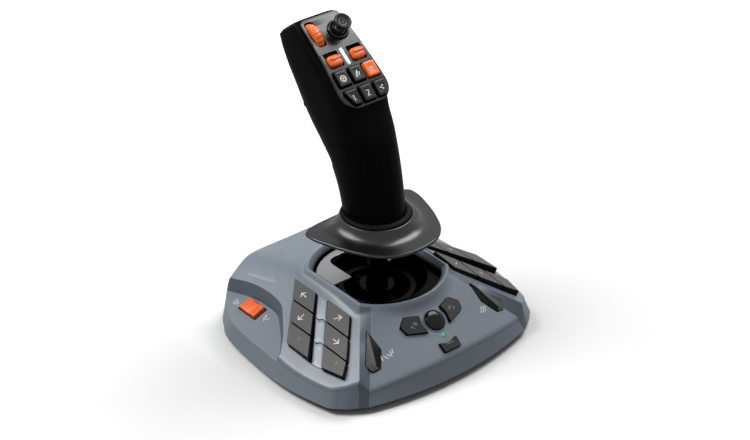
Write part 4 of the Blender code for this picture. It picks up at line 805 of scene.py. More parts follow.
SIDES = ((-1, "left"), (1, "right"))
COLUMNS = (("outer", OUTER_COLUMN_CORNER, None), ("inner", INNER_COLUMN_CORNER, LAST_KEY_CUT))


def side_rocker_frame(side):
    x, y = SIDE_ROCKER_PLAN
    return plane_frame((-side * x, y, recess_floor(x)), -side * RECESS_SLOPE, 0.0)


def key_frame(points):
    points = scaled(points)
    middle = (sum(p[0] for p in points) / len(points), sum(p[1] for p in points) / len(points))
    at = seat_frame(*middle)
    return at, to_frame(at, points)


def cut_recess(shell, hollow, side):
    """The stepped flat at the side, with a sloped step; the hollow keeps clear of it."""
    bend = [tuple(p) for p in smooth_path(scaled(RECESS_OUTLINE), RECESS_STEPS)]
    outline = [(-PAST_SIDE, RECESS_FRONT_Y)] + bend + [(-PAST_SIDE, PAST_BACK)]
    deeper = for_side([(x + SHELL_WALL, y - SHELL_WALL) for x, y in outline], side)
    outline = for_side(outline, side)
    low, high = inset_outline(outline, STEP_FOOT), inset_outline(outline, -STEP_REACH)
    step = new_object("step", loft(([(x, y, recess_floor(x)) for x, y in low],
                                    at_height(high, RECESS_TOP))))
    keep = new_object("keep", prism(
        deeper, lambda x, y: recess_floor(x) - 1.08 * SHELL_WALL, RECESS_TOP))
    carve(shell, step)
    carve(hollow, keep)


def base_openings():
    """Cutters for the keys, the rockers, the home button, the lens and the cable inlet."""
    cutters = []

    def opening(outline, at, over=CUT_OVER, under=CUT_UNDER):
        cutters.append(new_object("hole", prism(outline, -under, over), at))

    for side, _ in SIDES:
        for (_, corner, last), at in zip(COLUMNS, column_frames(side)):
            outline = turned_for(column_keys(corner, last)[1], side)
            opening(rounded(inset_outline(outline, -KEY_GAP), KEY_HOLE_CORNER, 3), at, CUT_UNDER)
        width, length = SIDE_ROCKER_SIZE
        opening(rounded_rectangle(width + 2 * KEY_GAP, length + 4.4 * KEY_GAP, 1.2 * MM, 4),
                side_rocker_frame(side), under=CUT_OVER)
    for points in (WING_KEY, mirrored(WING_KEY), MENU_KEY, mirrored(MENU_KEY), MODE_KEY):
        at, outline = key_frame(points)
        opening(rounded(inset_outline(outline, -KEY_GAP), KEY_HOLE_CORNER, 3), at)
    for plan, radius in ((HOME_PLAN, HOME_RADIUS + KEY_GAP), (LENS_PLAN, LENS_RADIUS + SEAT_GAP)):
        opening(circle(radius, 48), seat_frame(*plan))
    lean = BACK_DRAFT * (INLET_Z - SHELL_BOTTOM) / (BACK_Z - SHELL_BOTTOM)
    at = Matrix.Translation((0, BASE_BACK - lean - SHELL_WALL / 2, INLET_Z))
    opening(circle(INLET_RADIUS + SEAT_GAP, 40), at @ Matrix.Rotation(math.radians(-90), 4, "X"),
            14 * MM, 28 * MM)
    return cutters


def build_shell():
    shell = new_object("base_shell_skin", skin())
    hollow = new_object("hollow", skin(SHELL_WALL, 8, 4))
    for side, _ in SIDES:
        cut_recess(shell, hollow, side)
    carve(shell, hollow)
    carve(shell, *base_openings())
    smooth(shell, 24.0, flat_caps=False)
    dress(shell, SHELL, "base", ("base_top_shell",))
    # Painted shade: darker slate on the creases, the recess steps and the rim's inner slope.
    paint_shade_faces(shell)


def near_path(point, path, reach):
    return any((point - nearest_on(a, b, point)).length < reach for a, b in zip(path, path[1:]))


def paint_shade_faces(shell):
    """The crease facets, the recess steps and the rim's inner slope take a darker slate: painted
    shade where these faces turn from the light.
    """
    shell.data.materials.append(DARK_SLATE_AND_SHADE)
    recess = [Vector(p) for p in smooth_path(scaled(RECESS_OUTLINE), RECESS_STEPS)]
    creases = []
    for angle, foot in ((CREASE_IN_ANGLE, CORNER_IN), (CREASE_OUT_ANGLE, CORNER_OUT)):
        rim = Vector((VALLEY_RADIUS * math.cos(angle), BOWL_Y + VALLEY_RADIUS * math.sin(angle)))
        creases.append((rim, Vector(foot)))

    def right_of(point, line):
        a, b = line
        return (b - a).cross(point - a) > 0

    def is_painted_shade(face):
        x, y, z = face.center
        spot = Vector((abs(x), y))
        inward = Vector((-x, BOWL_Y - y, 0.0)).normalized()
        radius = math.hypot(x, y - BOWL_Y)
        if radius < RIM_OUTER_RADIUS and face.normal.dot(inward) > RIM_SLOPE_TURN:
            return True
        between = right_of(spot, creases[0]) and not right_of(spot, creases[1])
        if radius > RIM_OUTER_RADIUS and between and y < BOWL_Y:
            return True
        if z <= recess_floor(x) + 0.1 * MM or (abs(face.normal.x) >= 0.9 and y <= 0.0):
            return False
        return (STEP_TURNS[0] < face.normal.z < STEP_TURNS[1]
                and near_path(Vector((-abs(x), y)), recess, STEP_BAND))

    for face in shell.data.polygons:
        if is_painted_shade(face):
            face.material_index = SECOND_FINISH


# =============================== pieces taken over from the part ===============================
def finished(node, material, width):
    """Merged copy of a node with bevelled edges; it stands for the node."""
    source = frame["nodes"][node]
    mesh = source.data.copy()
    obj = bpy.data.objects.new(f"{node}_finished", mesh)
    bpy.context.scene.collection.objects.link(obj)
    bm = bmesh.new()
    bm.from_mesh(mesh)
    bmesh.ops.remove_doubles(bm, verts=bm.verts, dist=0.002 * MM)
    bmesh.ops.dissolve_limit(bm, angle_limit=math.radians(1.0), verts=bm.verts, edges=bm.edges)
    bm.to_mesh(mesh)
    bm.free()
    if mesh.has_custom_normals:
        only(obj)
        bpy.ops.mesh.customdata_custom_splitnormals_clear()
    bevel(obj, width)
    smooth(obj, 38.0)
    body = source.parent.name.removeprefix(BODY_PREFIX)
    return dress(obj, material, body, (node,))


def build_plain_nodes():
    """Inner and under parts keep their solids' shapes and get softened edges."""
    rows = (
        (("base_bottom_cover",), COVER, 0.8, "black_plastic"),
        (("rubber_foot_1", "rubber_foot_2", "rubber_foot_3", "rubber_foot_4"), RUBBER, 0.4,
         "rubber"),
        (("cable_inlet",), RUBBER, 0.25, "rubber"),
        (("gimbal_housing",), INNER_BLACK_AND_SHADE, 0.5, "gloss_black"),
        (("pitch_yoke",), INNER_BLACK_AND_SHADE, 0.6, "gloss_black"),
        (("roll_cradle",), INNER_BLACK_AND_SHADE, 0.5, "black_plastic"),
        # The steel shaft and bush take the inner black as painted shade of the dark bowl.
        (("stick_shaft",), INNER_BLACK_AND_SHADE, 0.3, "steel"),
        (("spring_seat",), BLACK, 0.2, "black_plastic"),
        (("bowl_cover_plate",), SATIN, 0.25, "satin_plate"),
        (("twist_bush",), INNER_BLACK_AND_SHADE, 0.2, "steel"),
        (("wheel_axle",), STEEL, 0.15, "steel"),
        (("base_circuit_board", "handle_circuit_board"), BOARD, 0.1, "circuit_board"),
    )
    for nodes, material, width, slot in rows:
        for node in nodes:
            finished(node, material, width * MM)
    spring = frame["nodes"]["centring_spring"]
    spring.data.materials.clear()
    spring.data.materials.append(STEEL)


def no_lift(_x, _y):
    return 0.0


def capped_key(name, outline, at, rise, depth, top, side, node, corner=0.9, crown=0.0,
               lift=no_lift):
    """Key with rounded corners and a softened top edge; its walls take black as painted shade, its
    top keeps the given finish.
    """
    outline = rounded(outline, corner * MM, 4)
    edge = MM if crown else SHARP_KEY_EDGE * MM
    rings = [[(x, y, z + (lift(x, y) if z > 0.5 * MM else 0.0))
              for x, y in inset_outline(outline, inset * edge)] for inset, z in
             ((0.0, -depth), (0.0, 0.0), (0.0, rise - 0.75 * MM), (0.08, rise - 0.42 * MM),
              (0.3, rise - 0.12 * MM), (0.62, rise))]
    rim = rings[-1]
    count = len(outline)
    middle = (sum(p[0] for p in outline) / count, sum(p[1] for p in outline) / count)
    for share, sink in ((0.6, 0.75), (0.25, 1.0)) if crown else ((0.92, 0.0),):
        spots = [(middle[0] + (x - middle[0]) * share, middle[1] + (y - middle[1]) * share)
                 for x, y, _ in rim]
        rings.append([(x, y, rise + lift(x, y) - crown * sink) for x, y in spots])
    key = new_object(name, loft(rings), at)
    smooth(key, 30.0)
    dress(key, side, node, (node,))
    key.data.materials.append(top)
    normal = at.to_3x3().col[2]
    inverse = at.inverted()
    for face in key.data.polygons:
        spot = inverse @ face.center
        high = spot.z > rise + lift(spot.x, spot.y) - 0.5 * MM
        on_top = high and face.normal.dot(normal) > 0.3
        face.material_index = SECOND_FINISH if on_top else FIRST_FINISH
    return key


def column_lift(side, corner):
    """The keys of a column share one plane that stands higher at its lower end."""
    return lambda x, y: KEY_TILT * (corner[0] + side * x)


def build_keys():
    for side, word in SIDES:
        for (column, corner, last), at in zip(COLUMNS, column_frames(side)):
            for row, outline in enumerate(column_keys(corner, last)[0]):
                node = f"{word}_{column}_key_{row + 1}"
                capped_key(f"{node}_cap", turned_for(outline, side), at, KEY_STAND, KEY_DEPTH, KEY,
                           BLACK_PAINTED_SHADE, node, lift=column_lift(side, corner))
        wing_key(side, word)
        at, outline = key_frame(for_side(MENU_KEY, side))
        capped_key(f"{word}_menu_key_cap", outline, at, 2.1 * MM, FRONT_KEY_DEPTH, THUMB, BLACK_PAINTED_SHADE,
                   f"{word}_menu_key", 1.6)
    at, outline = key_frame(MODE_KEY)
    capped_key("mode_key_cap", outline, at, 2.0 * MM, FRONT_KEY_DEPTH, THUMB, BLACK_PAINTED_SHADE, "mode_key",
               0.8)
    # The black thumb keys' walls take painted shade; the orange keys stay orange all round.
    for node, place, s, orange in thumb_keys():
        top, side = (ORANGE, ORANGE) if orange else (THUMB, BLACK_PAINTED_SHADE)
        capped_key(f"{node}_cap", thumb_outline(place, s, 0.75 * MM, 1.3 * MM, 3),
                   panel_frame(place * THUMB_PITCH, s), THUMB_STAND, THUMB_DEPTH, top, side, node,
                   0.3, 0.4 * MM)


def thumb_keys():
    """(node, place across, place along the panel, whether orange) of the six thumb keys."""
    return [(f"thumb_key_{row}_{column}", place, s, (row, column) == ("upper", "right"))
            for s, row in zip(THUMB_ROWS, ("upper", "lower"))
            for place, column in zip((-1, 0, 1), ("left", "middle", "right"))]


def thumb_outline(place, s, inset, corner, steps):
    """Outline of one thumb key; the lower outer ones narrow towards the panel's round end."""
    width, length = THUMB_SIZE
    outline = rounded_rectangle(width - 2 * inset, length - 2 * inset, corner, steps)
    if s < PANEL_ROUND_START and place:
        outline = [(x - place * THUMB_TAPER * (length / 2 - y) if x * place > 0 and y < 0 else x, y)
                   for x, y in outline]
    return outline


def wing_key(side, word):
    """Ridged key: a lit facet falls to the outside and a steep one to the middle; the outer facet
    keeps the key grey, the rest is painted black as shade.
    """
    at, outline = key_frame(for_side(WING_KEY, side))
    ridge_plan = scaled([(-side * x, y) for x, y in WING_RIDGE])
    low, high = (Vector(p) for p in to_frame(at, ridge_plan))
    outline = rounded(outline, 0.9 * MM, 3)

    def on_ridge(p, stand_off):
        spot = nearest_on(low, high, Vector(p))
        away = Vector(p) - spot
        return spot + away.normalized() * min(stand_off, away.length * 0.9)

    rings = [at_height(outline, -FRONT_KEY_DEPTH), at_height(outline, 0.35 * MM),
             at_height(inset_outline(outline, 0.25 * MM), 0.95 * MM)]
    for stand_off, z in ((0.8 * MM, 1.95 * MM), (0.35 * MM, 2.15 * MM)):
        rings.append([(*on_ridge(p, stand_off), z) for p in outline])
    key = new_object(f"{word}_wing_key_cap", loft(rings), at)
    smooth(key, 30.0)
    dress(key, BLACK_PAINTED_SHADE, f"{word}_wing_key", (f"{word}_wing_key",))
    key.data.materials.append(KEY)
    for face in key.data.polygons:
        # Outward facing facets keep the grey; all other faces take the painted shade.
        outer = face.normal.x * side > 0.05 and face.normal.z > 0.3
        face.material_index = SECOND_FINISH if outer else FIRST_FINISH


# =============================== hand rest ===============================
def rest_outline(steps=9):
    half = [(0.0, REST_BACK), *scaled(REST_POINTS), (0.0, -REST_FRONT)]
    closed = half + [(-x, y) for x, y in reversed(half[1:-1])]
    return [tuple(p) for p in smooth_loop(closed, steps)]


def between(ring, other, share, z):
    """Ring part of the way from one ring to the other, both seen in plan, at one height."""
    return [(a[0] + (b[0] - a[0]) * share, a[1] + (b[1] - a[1]) * share, z)
            for a, b in zip(ring, other)]


def circle_toward(outline, middle, radius):
    found = []
    for x, y in outline:
        way = (Vector((x, y)) - Vector(middle)).normalized()
        found.append((middle[0] + way.x * radius, middle[1] + way.y * radius))
    return found


def build_hand_rest():
    edge = [(max(min(x, REST_HALF_WIDTH - 0.05 * MM), 0.05 * MM - REST_HALF_WIDTH), y)
            for x, y in rest_outline()]
    middle = (0.0, REST_Y)
    collar = circle_toward(edge, middle, REST_COLLAR_RADIUS)
    bore = circle_toward(edge, middle, COLLAR_RADIUS + 2.5 * SEAT_GAP)
    hole = circle_toward(edge, (0.0, BOWL_Y), BUSH_RADIUS + 2 * SEAT_GAP)
    floor_top = GRIP_BOTTOM - SEAT_GAP
    floor_bottom = floor_top - REST_FLOOR
    under = REST_Z - REST_EDGE
    rings = [at_height(inset_outline(edge, inset * MM), under + z * MM) for inset, z in REST_LIP]
    for share, z in smooth_path(REST_FLARE, 4):
        rise = z * MM * (REST_COLLAR_TOP - REST_Z) / (8 * MM)
        rings.append(between(edge, collar, share, REST_Z + rise))
    rings += [at_height(points, z) for points, z in (
        (inset_outline(collar, 0.35 * MM), REST_COLLAR_TOP), (bore, REST_COLLAR_TOP),
        (bore, floor_top), (hole, floor_top), (hole, floor_bottom))]
    rings += [between(edge, collar, share, z) for share, z in (
        (0.80, floor_bottom), (0.45, floor_bottom - 1.2 * MM), (0.16, under))]
    rest = new_object("hand_rest_skin", loft(rings, closed=True))
    smooth(rest, 50.0)
    dress(rest, REST, "handle", ("hand_rest",))

    ring = inset_outline(edge, 1.15 * MM)
    rings = [at_height(inset_outline(ring, 0.22 * MM), REST_Z - 0.18 * MM),
             at_height(ring, REST_Z - 0.34 * MM),
             at_height(inset_outline(ring, 0.5 * MM), REST_Z - 1 * MM)]
    line = new_object("hand_rest_edge_line", loft(rings, closed=True))
    smooth(line)
    dress(line, BLACK, "handle", ())


# =============================== grip ===============================
GRIP_POINTS = 96


def fine_sections():
    rows = [Vector(row) for row in GRIP_SECTIONS]
    return [tuple(p) for p in smooth_path(rows[:-2], 5)] + [tuple(rows[-2]), tuple(rows[-1])]


def grip_ring(section, offset):
    fy, fz, by, bz, half_width, front_square, back_square = section
    front, back = Vector((fy, fz)) * MM, Vector((by, bz)) * MM
    middle = (front + back) / 2
    way = (back - front).normalized()
    depth = (back - front).length / 2 + offset
    width = half_width * MM + offset
    ring = []
    for k in range(GRIP_POINTS):
        angle = 2 * math.pi * (k + 0.5) / GRIP_POINTS
        c, s = math.cos(angle), math.sin(angle)
        square = back_square if s > 0 else front_square
        across = math.copysign(abs(c) ** (2 / square), c) * width
        along = math.copysign(abs(s) ** (2 / square), s) * depth
        ring.append(Vector((across, middle.x + way.x * along, middle.y + way.y * along)))
    return ring


def grip_body(offset=0.0, end_shift=0.0, roof=0.0):
    """The grip's outer form; the roof closes the head's end with a soft round."""
    rings = [grip_ring(section, offset) for section in fine_sections()]
    low = [a + (a - b) * end_shift / (b.z - a.z) for a, b in zip(rings[0], rings[1])]
    way = Vector((0.0, math.cos(PANEL_TILT), math.sin(PANEL_TILT)))
    high = [p + way * end_shift for p in rings[-1]]
    found = [low, *rings[1:-1], high]
    if roof:
        middle = sum(high, Vector()) / len(high)
        found[-1] = [p - way * 0.5 * MM for p in high]
        found += [[p.lerp(middle, share) + way * lift * MM for p in high]
                  for share, lift in ((0.04, 0.0), (0.12, 0.35), (0.3, 0.5))]
    return loft([[tuple(p) for p in ring] for ring in found])


def side_view_prism(points, half_width):
    return loft([[(x, y * MM, z * MM) for y, z in points] for x in (-half_width, half_width)])


def panel_frame(x, s, height=0.0):
    tilt = PANEL_TILT - s / PANEL_ARC_RADIUS
    middle_way = Vector((0, -math.sin(PANEL_TILT), math.cos(PANEL_TILT)))
    centre = Vector((0, *PANEL_MIDDLE)) - middle_way * PANEL_ARC_RADIUS
    out = Vector((0, -math.sin(tilt), math.cos(tilt)))
    up = Vector((0, math.cos(tilt), math.sin(tilt)))
    found = Matrix((Vector((1, 0, 0)), up, out)).transposed().to_4x4()
    found.translation = centre + out * (PANEL_ARC_RADIUS + height) + Vector((x, 0, 0))
    return found


def panel_half_width(s):
    span = PANEL_TOP_END - PANEL_BOTTOM_END
    half = PANEL_HALF_BOTTOM + (PANEL_HALF_TOP - PANEL_HALF_BOTTOM) * (s - PANEL_BOTTOM_END) / span
    if s < PANEL_ROUND_START:
        share = (PANEL_ROUND_START - s) / (PANEL_ROUND_START - PANEL_BOTTOM_END)
        half *= 0.42 + 0.58 * math.sqrt(max(1.0 - share**2, 0.0))
    return half


def panel_sheet(grow, bottom, top):
    low_end, high_end = PANEL_BOTTOM_END - grow, PANEL_TOP_END + grow
    lengths = [low_end + (PANEL_ROUND_START - low_end) * (1 - math.cos(math.pi / 2 * k / 14))
               for k in range(15)]
    arc_start = high_end - PANEL_CORNER
    lengths += [PANEL_ROUND_START + (arc_start - PANEL_ROUND_START) * k / 20 for k in range(1, 21)]
    lengths += [arc_start + PANEL_CORNER * math.sin(math.pi / 2 * k / 8) for k in range(1, 9)]
    rings = []
    for s in lengths:
        half = panel_half_width(max(s, PANEL_BOTTOM_END)) + grow
        if s > arc_start:
            half -= PANEL_CORNER - math.sqrt(max(PANEL_CORNER**2 - (s - arc_start) ** 2, 0.0))
        low, high = panel_frame(0, s, bottom), panel_frame(0, s, top)
        rings.append([tuple(low @ Vector((-half, 0, 0))), tuple(low @ Vector((half, 0, 0))),
                      tuple(high @ Vector((half, 0, 0))), tuple(high @ Vector((-half, 0, 0)))])
    return loft(rings)


def half_grip(side, body):
    """One half of the grip: the whole form cut along its middle."""
    half = body.copy()
    half.data = body.data.copy()
    bpy.context.scene.collection.objects.link(half)
    only(half)
    bpy.ops.object.mode_set(mode="EDIT")
    bpy.ops.mesh.select_all(action="SELECT")
    bpy.ops.mesh.bisect(plane_co=(side * 0.15 * MM, 0, 0), plane_no=(1, 0, 0), use_fill=True,
                        clear_inner=side > 0, clear_outer=side < 0)
    bpy.ops.mesh.select_all(action="SELECT")
    bpy.ops.mesh.normals_make_consistent(inside=False)
    bpy.ops.object.mode_set(mode="OBJECT")
    return half


def build_grip():
    whole = new_object("whole_grip", grip_body(roof=1.0))
    inside = new_object("grip_inside", grip_body(-GRIP_WALL, -GRIP_WALL))
    cut(whole, inside, solver="EXACT")
    rebate = new_object("rebate", panel_sheet(SEAT_GAP, -PANEL_THICKNESS - SEAT_GAP, 20 * MM))
    ledge = new_object("ledge", panel_sheet(-PANEL_LEDGE, -11 * MM, 20 * MM))
    outline = [tuple(p) for p in smooth_path(COVER_REGION[:9], 4)] + list(COVER_REGION[9:])
    region = new_object("region", side_view_prism(outline, 40 * MM))
    backing = new_object("backing", grip_body(-COVER_THICKNESS - SEAT_GAP, 10 * MM))
    cut(region, backing, solver="EXACT")
    for cutter in (rebate, ledge, region):
        cut(whole, cutter, solver="EXACT")
    for side, word in SIDES:
        half = half_grip(side, whole)
        half.name = f"{word}_grip_skin"
        if side < 0:
            sink_screws(half)
        bevel(half, 0.35 * MM, 2, 40.0)
        smooth(half, 40.0)
        dress(half, GRIP, "handle", (f"{word}_grip_shell",))
    trim = [(y, z + (0.5 if z < 109 else -0.25)) for y, z in inset_outline(outline, 0.35)]
    cover = new_object("rear_cover_skin", grip_body())
    keep = new_object("keep", side_view_prism(trim, 40 * MM))
    cut(cover, keep, "INTERSECT", solver="EXACT")
    hollow = new_object("hollow", grip_body(-COVER_THICKNESS, 5 * MM))
    cut(cover, hollow, solver="EXACT")
    slot_hole(cover)
    bevel(cover, 0.3 * MM, 2, 40.0)
    smooth(cover, 40.0)
    dress(cover, GRIP, "handle", ("rear_grip_cover",))
    drop(whole, inside, rebate, ledge, region, backing, keep, hollow)


def slot_hole(cover):
    """Long oval hole in the rear cover."""
    outline = rounded_rectangle(*SLOT_SIZE, SLOT_SIZE[0] / 2, 6)
    at = Matrix.Translation(SLOT_PLACE) @ Matrix.Rotation(SLOT_LEAN, 4, "X")
    carve(cover, new_object("hole", prism(outline, -CUT_OVER, CUT_OVER), at), solver="EXACT")


def screw_frame(k):
    """The screws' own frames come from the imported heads' boxes."""
    low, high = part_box(f"grip_screw_{k + 1}")
    middle = (Vector(low) + Vector(high)) / 2
    place = Matrix.Translation((low[0], middle.y, middle.z))
    return place @ Matrix.Rotation(math.radians(90), 4, "Y")


def sink_screws(half):
    for k in range(2):
        at = screw_frame(k)
        hole = new_object("hole", domed(((2.9 * MM, -12 * MM), (2.9 * MM, -1.2 * MM),
                                         (2.7 * MM, 0.0), (2.7 * MM, 2.6 * MM)), 40), at)
        cut(half, hole, solver="EXACT")
        drop(hole)


def build_screws():
    for k in range(2):
        at = screw_frame(k)
        head = new_object(f"screw_head_{k + 1}", domed(
            ((SCREW_HEAD_RADIUS - 0.3 * MM, 0.0), (SCREW_HEAD_RADIUS, 0.35 * MM),
             (SCREW_HEAD_RADIUS, 1.9 * MM)), 40), at)
        for turn in (SCREW_TURN, SCREW_TURN + 90):
            blade = prism(rounded_rectangle(2.6 * MM, 0.7 * MM, 0.2 * MM, 2), -0.5 * MM, 0.9 * MM)
            turned = at @ Matrix.Rotation(math.radians(turn), 4, "Z")
            carve(head, new_object("cross", blade, turned))
        smooth(head)
        dress(head, SCREW, "handle", (f"grip_screw_{k + 1}",))


def build_collar():
    """Dark ring between the hand rest and the grip."""
    top = COLLAR_TOP
    edge = [grip_ring(section, SEAT_GAP) for section in fine_sections()[:6]]

    def grip_at(z):
        found = []
        for k in range(GRIP_POINTS):
            line = [ring[k] for ring in edge]
            a, b = next(((a, b) for a, b in zip(line, line[1:]) if a.z <= z <= b.z),
                        (line[0], line[1]))
            t = (z - a.z) / (b.z - a.z)
            p = a.lerp(b, t)
            found.append((p.x, p.y, z))
        return found

    inner_low, inner_high = grip_at(GRIP_BOTTOM + 0.05 * MM), grip_at(top - 0.3 * MM)

    def circle(radius, z):
        return [(radius * math.cos(2 * math.pi * (k + 0.5) / GRIP_POINTS),
                 REST_Y + radius * math.sin(2 * math.pi * (k + 0.5) / GRIP_POINTS), z)
                for k in range(GRIP_POINTS)]

    def mid(share, z):
        ring = circle(COLLAR_RADIUS, z)
        return [(a[0] + (b[0] - a[0]) * share, a[1] + (b[1] - a[1]) * share, z)
                for a, b in zip(ring, inner_high)]

    rings = [circle(COLLAR_RADIUS, GRIP_BOTTOM + 0.05 * MM), circle(COLLAR_RADIUS, top - 1.6 * MM),
             mid(0.12, top - 0.7 * MM), mid(0.4, top - 0.15 * MM), mid(0.7, top),
             mid(0.93, top - 0.05 * MM), inner_high, inner_low]
    ring = new_object("grip_collar_skin", loft(rings, closed=True))
    smooth(ring, 60.0)
    dress(ring, COLLAR, "handle", ("grip_collar",))


# =============================== thumb panel ===============================
def build_panel():
    plate = new_object("panel_plate_skin", panel_sheet(0.0, -PANEL_THICKNESS, 0.0))
    holes = [(inset_outline(thumb_outline(place, s, 0.0, 1.2 * MM, 4), -KEY_GAP),
              panel_frame(place * THUMB_PITCH, s)) for _, place, s, _ in thumb_keys()]
    for side in (-1, 1):
        holes.append((rounded_rectangle(ROCKER_SIZE[0] + 2 * KEY_GAP, ROCKER_SIZE[1] + 2 * KEY_GAP,
                                        1.5 * MM, 5), panel_frame(side * ROCKER_X, ROCKER_S)))
    holes.append((rounded_rectangle(*LIGHT_BAR_SLOT, 0.8 * MM, 4), panel_frame(0, ROCKER_S)))
    sink = WHEEL_RADIUS - WHEEL_RISE
    chord = math.sqrt(WHEEL_RADIUS**2 - (sink - PANEL_THICKNESS) ** 2)
    holes.append((rounded_rectangle(WHEEL_WIDTH + 1.6 * MM, 2 * (chord + 0.8 * MM), 3.5 * MM, 8),
                  panel_frame(WHEEL_X, WHEEL_S)))
    holes.append((circle(STICK_SOCKET_RADIUS, 64), panel_frame(STICK_X, STICK_S)))
    for outline, at in holes:
        carve(plate, new_object("hole", prism(outline, -CUT_OVER, CUT_OVER), at))
    bevel(plate, 0.4 * MM, 3, 40.0)
    smooth(plate)
    dress(plate, PANEL, "handle", ("panel_plate",))


def stacked(outline, steps, shift=(0.0, 0.0)):
    """Solid of one outline drawn in step by step: (inset, height) pairs in mm."""
    across, along = shift
    return loft([[(x + across, y + along, z * MM)
                  for x, y in inset_outline(outline, inset * MM)] for inset, z in steps])


def build_thumb_rockers():
    for side, word in SIDES:
        at = panel_frame(side * ROCKER_X, ROCKER_S)
        body = rounded_rectangle(11.6 * MM, 9.4 * MM, 3.4 * MM, 8)
        rocker = new_object(f"{word}_thumb_rocker_cap", stacked(body, (
            (0.6, -4.0), (0.05, -1.6), (0.0, 0.6), (0.12, 1.3), (0.45, 1.95), (1.0, 2.45),
            (1.8, 2.75), (3.0, 2.9)), (0.0, -1.3 * MM)), at)
        ridge = rounded_rectangle(9.6 * MM, 3.0 * MM, 1.45 * MM, 8)
        steps = ((0.0, 0.5), (0.0, 2.9), (0.1, 3.35), (0.35, 3.65), (0.8, 3.8))
        carve(rocker, new_object("ridge", stacked(ridge, steps, (0.4 * MM, 0.2 * MM)), at),
              operation="UNION", solver="EXACT")
        smooth(rocker, 45.0)
        dress(rocker, ORANGE, f"{word}_thumb_rocker", (f"{word}_thumb_rocker",))


def build_light_bar():
    at = panel_frame(0, ROCKER_S)
    outline = rounded_rectangle(*LIGHT_BAR_SIZE, 0.6 * MM, 5)
    rings = [[(x, y, z) for x, y in inset_outline(outline, inset)] for inset, z in
             ((0.0, -3.0 * MM), (0.0, 0.1 * MM), (0.15 * MM, 0.32 * MM), (0.45 * MM, 0.4 * MM))]
    lens = new_object("light_bar_lens_skin", loft(rings), at)
    smooth(lens)
    dress(lens, LIGHT, "handle", ("light_bar",))


def build_wheel():
    """Thumb wheel with slanted ribs."""
    sink = WHEEL_RADIUS - WHEEL_RISE
    at = panel_frame(WHEEL_X, WHEEL_S) @ Matrix.Translation((0, 0, -sink))
    at = at @ Matrix.Rotation(math.radians(90), 4, "Y")
    half = WHEEL_WIDTH / 2
    steps, ribs = 320, 20
    rim = WHEEL_RADIUS / MM
    rows = [(1.8, -half, 0), (rim - 2.2, -half, 0), (rim - 0.9, -0.86 * half, 0.2),
            (rim - 0.25, -0.66 * half, 1.0)]
    rows += [(rim, t * half, 1.0) for t in (-0.45, -0.22, 0.0, 0.22, 0.45)]
    rows += [(rim - 0.25, 0.66 * half, 1.0), (rim - 0.9, 0.86 * half, 0.2),
             (rim - 2.2, half, 0), (1.8, half, 0)]
    rings = []
    for radius, z, depth in rows:
        ring = []
        for k in range(steps):
            angle = 2 * math.pi * k / steps
            phase = ribs * angle + 1.2 * z / half
            dip = 0.42 * depth * (0.5 - 0.5 * math.cos(phase)) ** 4
            r = (radius - dip) * MM
            ring.append((r * math.cos(angle), r * math.sin(angle), z))
        rings.append(ring)
    wheel = new_object("scroll_wheel_skin", loft(rings, closed=True), at)
    smooth(wheel)
    dress(wheel, ORANGE, "scroll_wheel", ("scroll_wheel",))


def sphere_arc(radius, low, high, steps):
    angles = [math.radians(low + (high - low) * k / steps) for k in range(steps + 1)]
    return [(radius * math.cos(a), radius * math.sin(a)) for a in angles]


def build_mini_stick():
    at = panel_frame(STICK_X, STICK_S)
    inner = 4.8 * MM
    outer = inner + 1.4 * MM
    bore = outer + 0.4 * MM
    wall = STICK_SOCKET_RADIUS - SEAT_GAP
    socket = [(bore, -3.5 * MM), (wall, -3.5 * MM), (wall, 0.3 * MM), (wall + 0.38 * MM, 0.32 * MM),
              (wall + 0.4 * MM, 0.6 * MM), (wall + 0.15 * MM, 1.1 * MM), (wall - 0.2 * MM, 1.55 * MM),
              (wall - 0.7 * MM, 1.85 * MM), (bore + 0.7 * MM, 1.98 * MM), (bore + 0.3 * MM, 1.9 * MM),
              (bore, 1.5 * MM)]
    ring = new_object("mini_stick_ring", spun(socket, 96), at)
    smooth(ring, 50.0)
    dress(ring, GLOSS, "handle", ("mini_stick_socket",))
    cradle = sphere_arc(outer, -30, 28, 12) + sphere_arc(inner, -30, 28, 12)[::-1]
    piece = new_object("mini_stick_cradle_skin", spun(cradle, 80), at)
    smooth(piece, 50.0)
    dress(piece, GLOSS, "mini_stick_cradle", ("mini_stick_cradle",))
    top, wide, neck = STICK_CAP_HEIGHT, STICK_CAP_RADIUS, 2.6 * MM
    low = top - 3.6 * MM
    lean = math.degrees(math.acos(neck / (4.4 * MM)))
    profile = sphere_arc(4.4 * MM, -70, lean, 12)
    profile += [(neck, low - 1.2 * MM), (neck + 0.3 * MM, low - 0.5 * MM), (0.55 * wide, low),
                (0.78 * wide, low + 0.35 * MM), (0.93 * wide, low + 1.0 * MM),
                (0.99 * wide, low + 1.7 * MM), (wide, low + 2.2 * MM), (0.99 * wide, low + 2.7 * MM),
                (0.96 * wide, top - 0.35 * MM), (0.9 * wide, top - 0.03 * MM), (0.84 * wide, top),
                (0.78 * wide, top - 0.22 * MM), (0.68 * wide, top - 0.95 * MM),
                (0.52 * wide, top - 1.45 * MM), (0.36 * wide, top - 1.6 * MM),
                (0.33 * wide, top - 1.3 * MM), (0.26 * wide, top - 1.22 * MM),
                (0.22 * wide, top - 1.5 * MM), (0.03 * wide, top - 1.65 * MM)]
    cap = new_object("mini_stick_cap_skin", domed(profile, 96), at)
    smooth(cap, 50.0)
    dress(cap, THUMB, "mini_stick_cap", ("mini_stick_cap",))


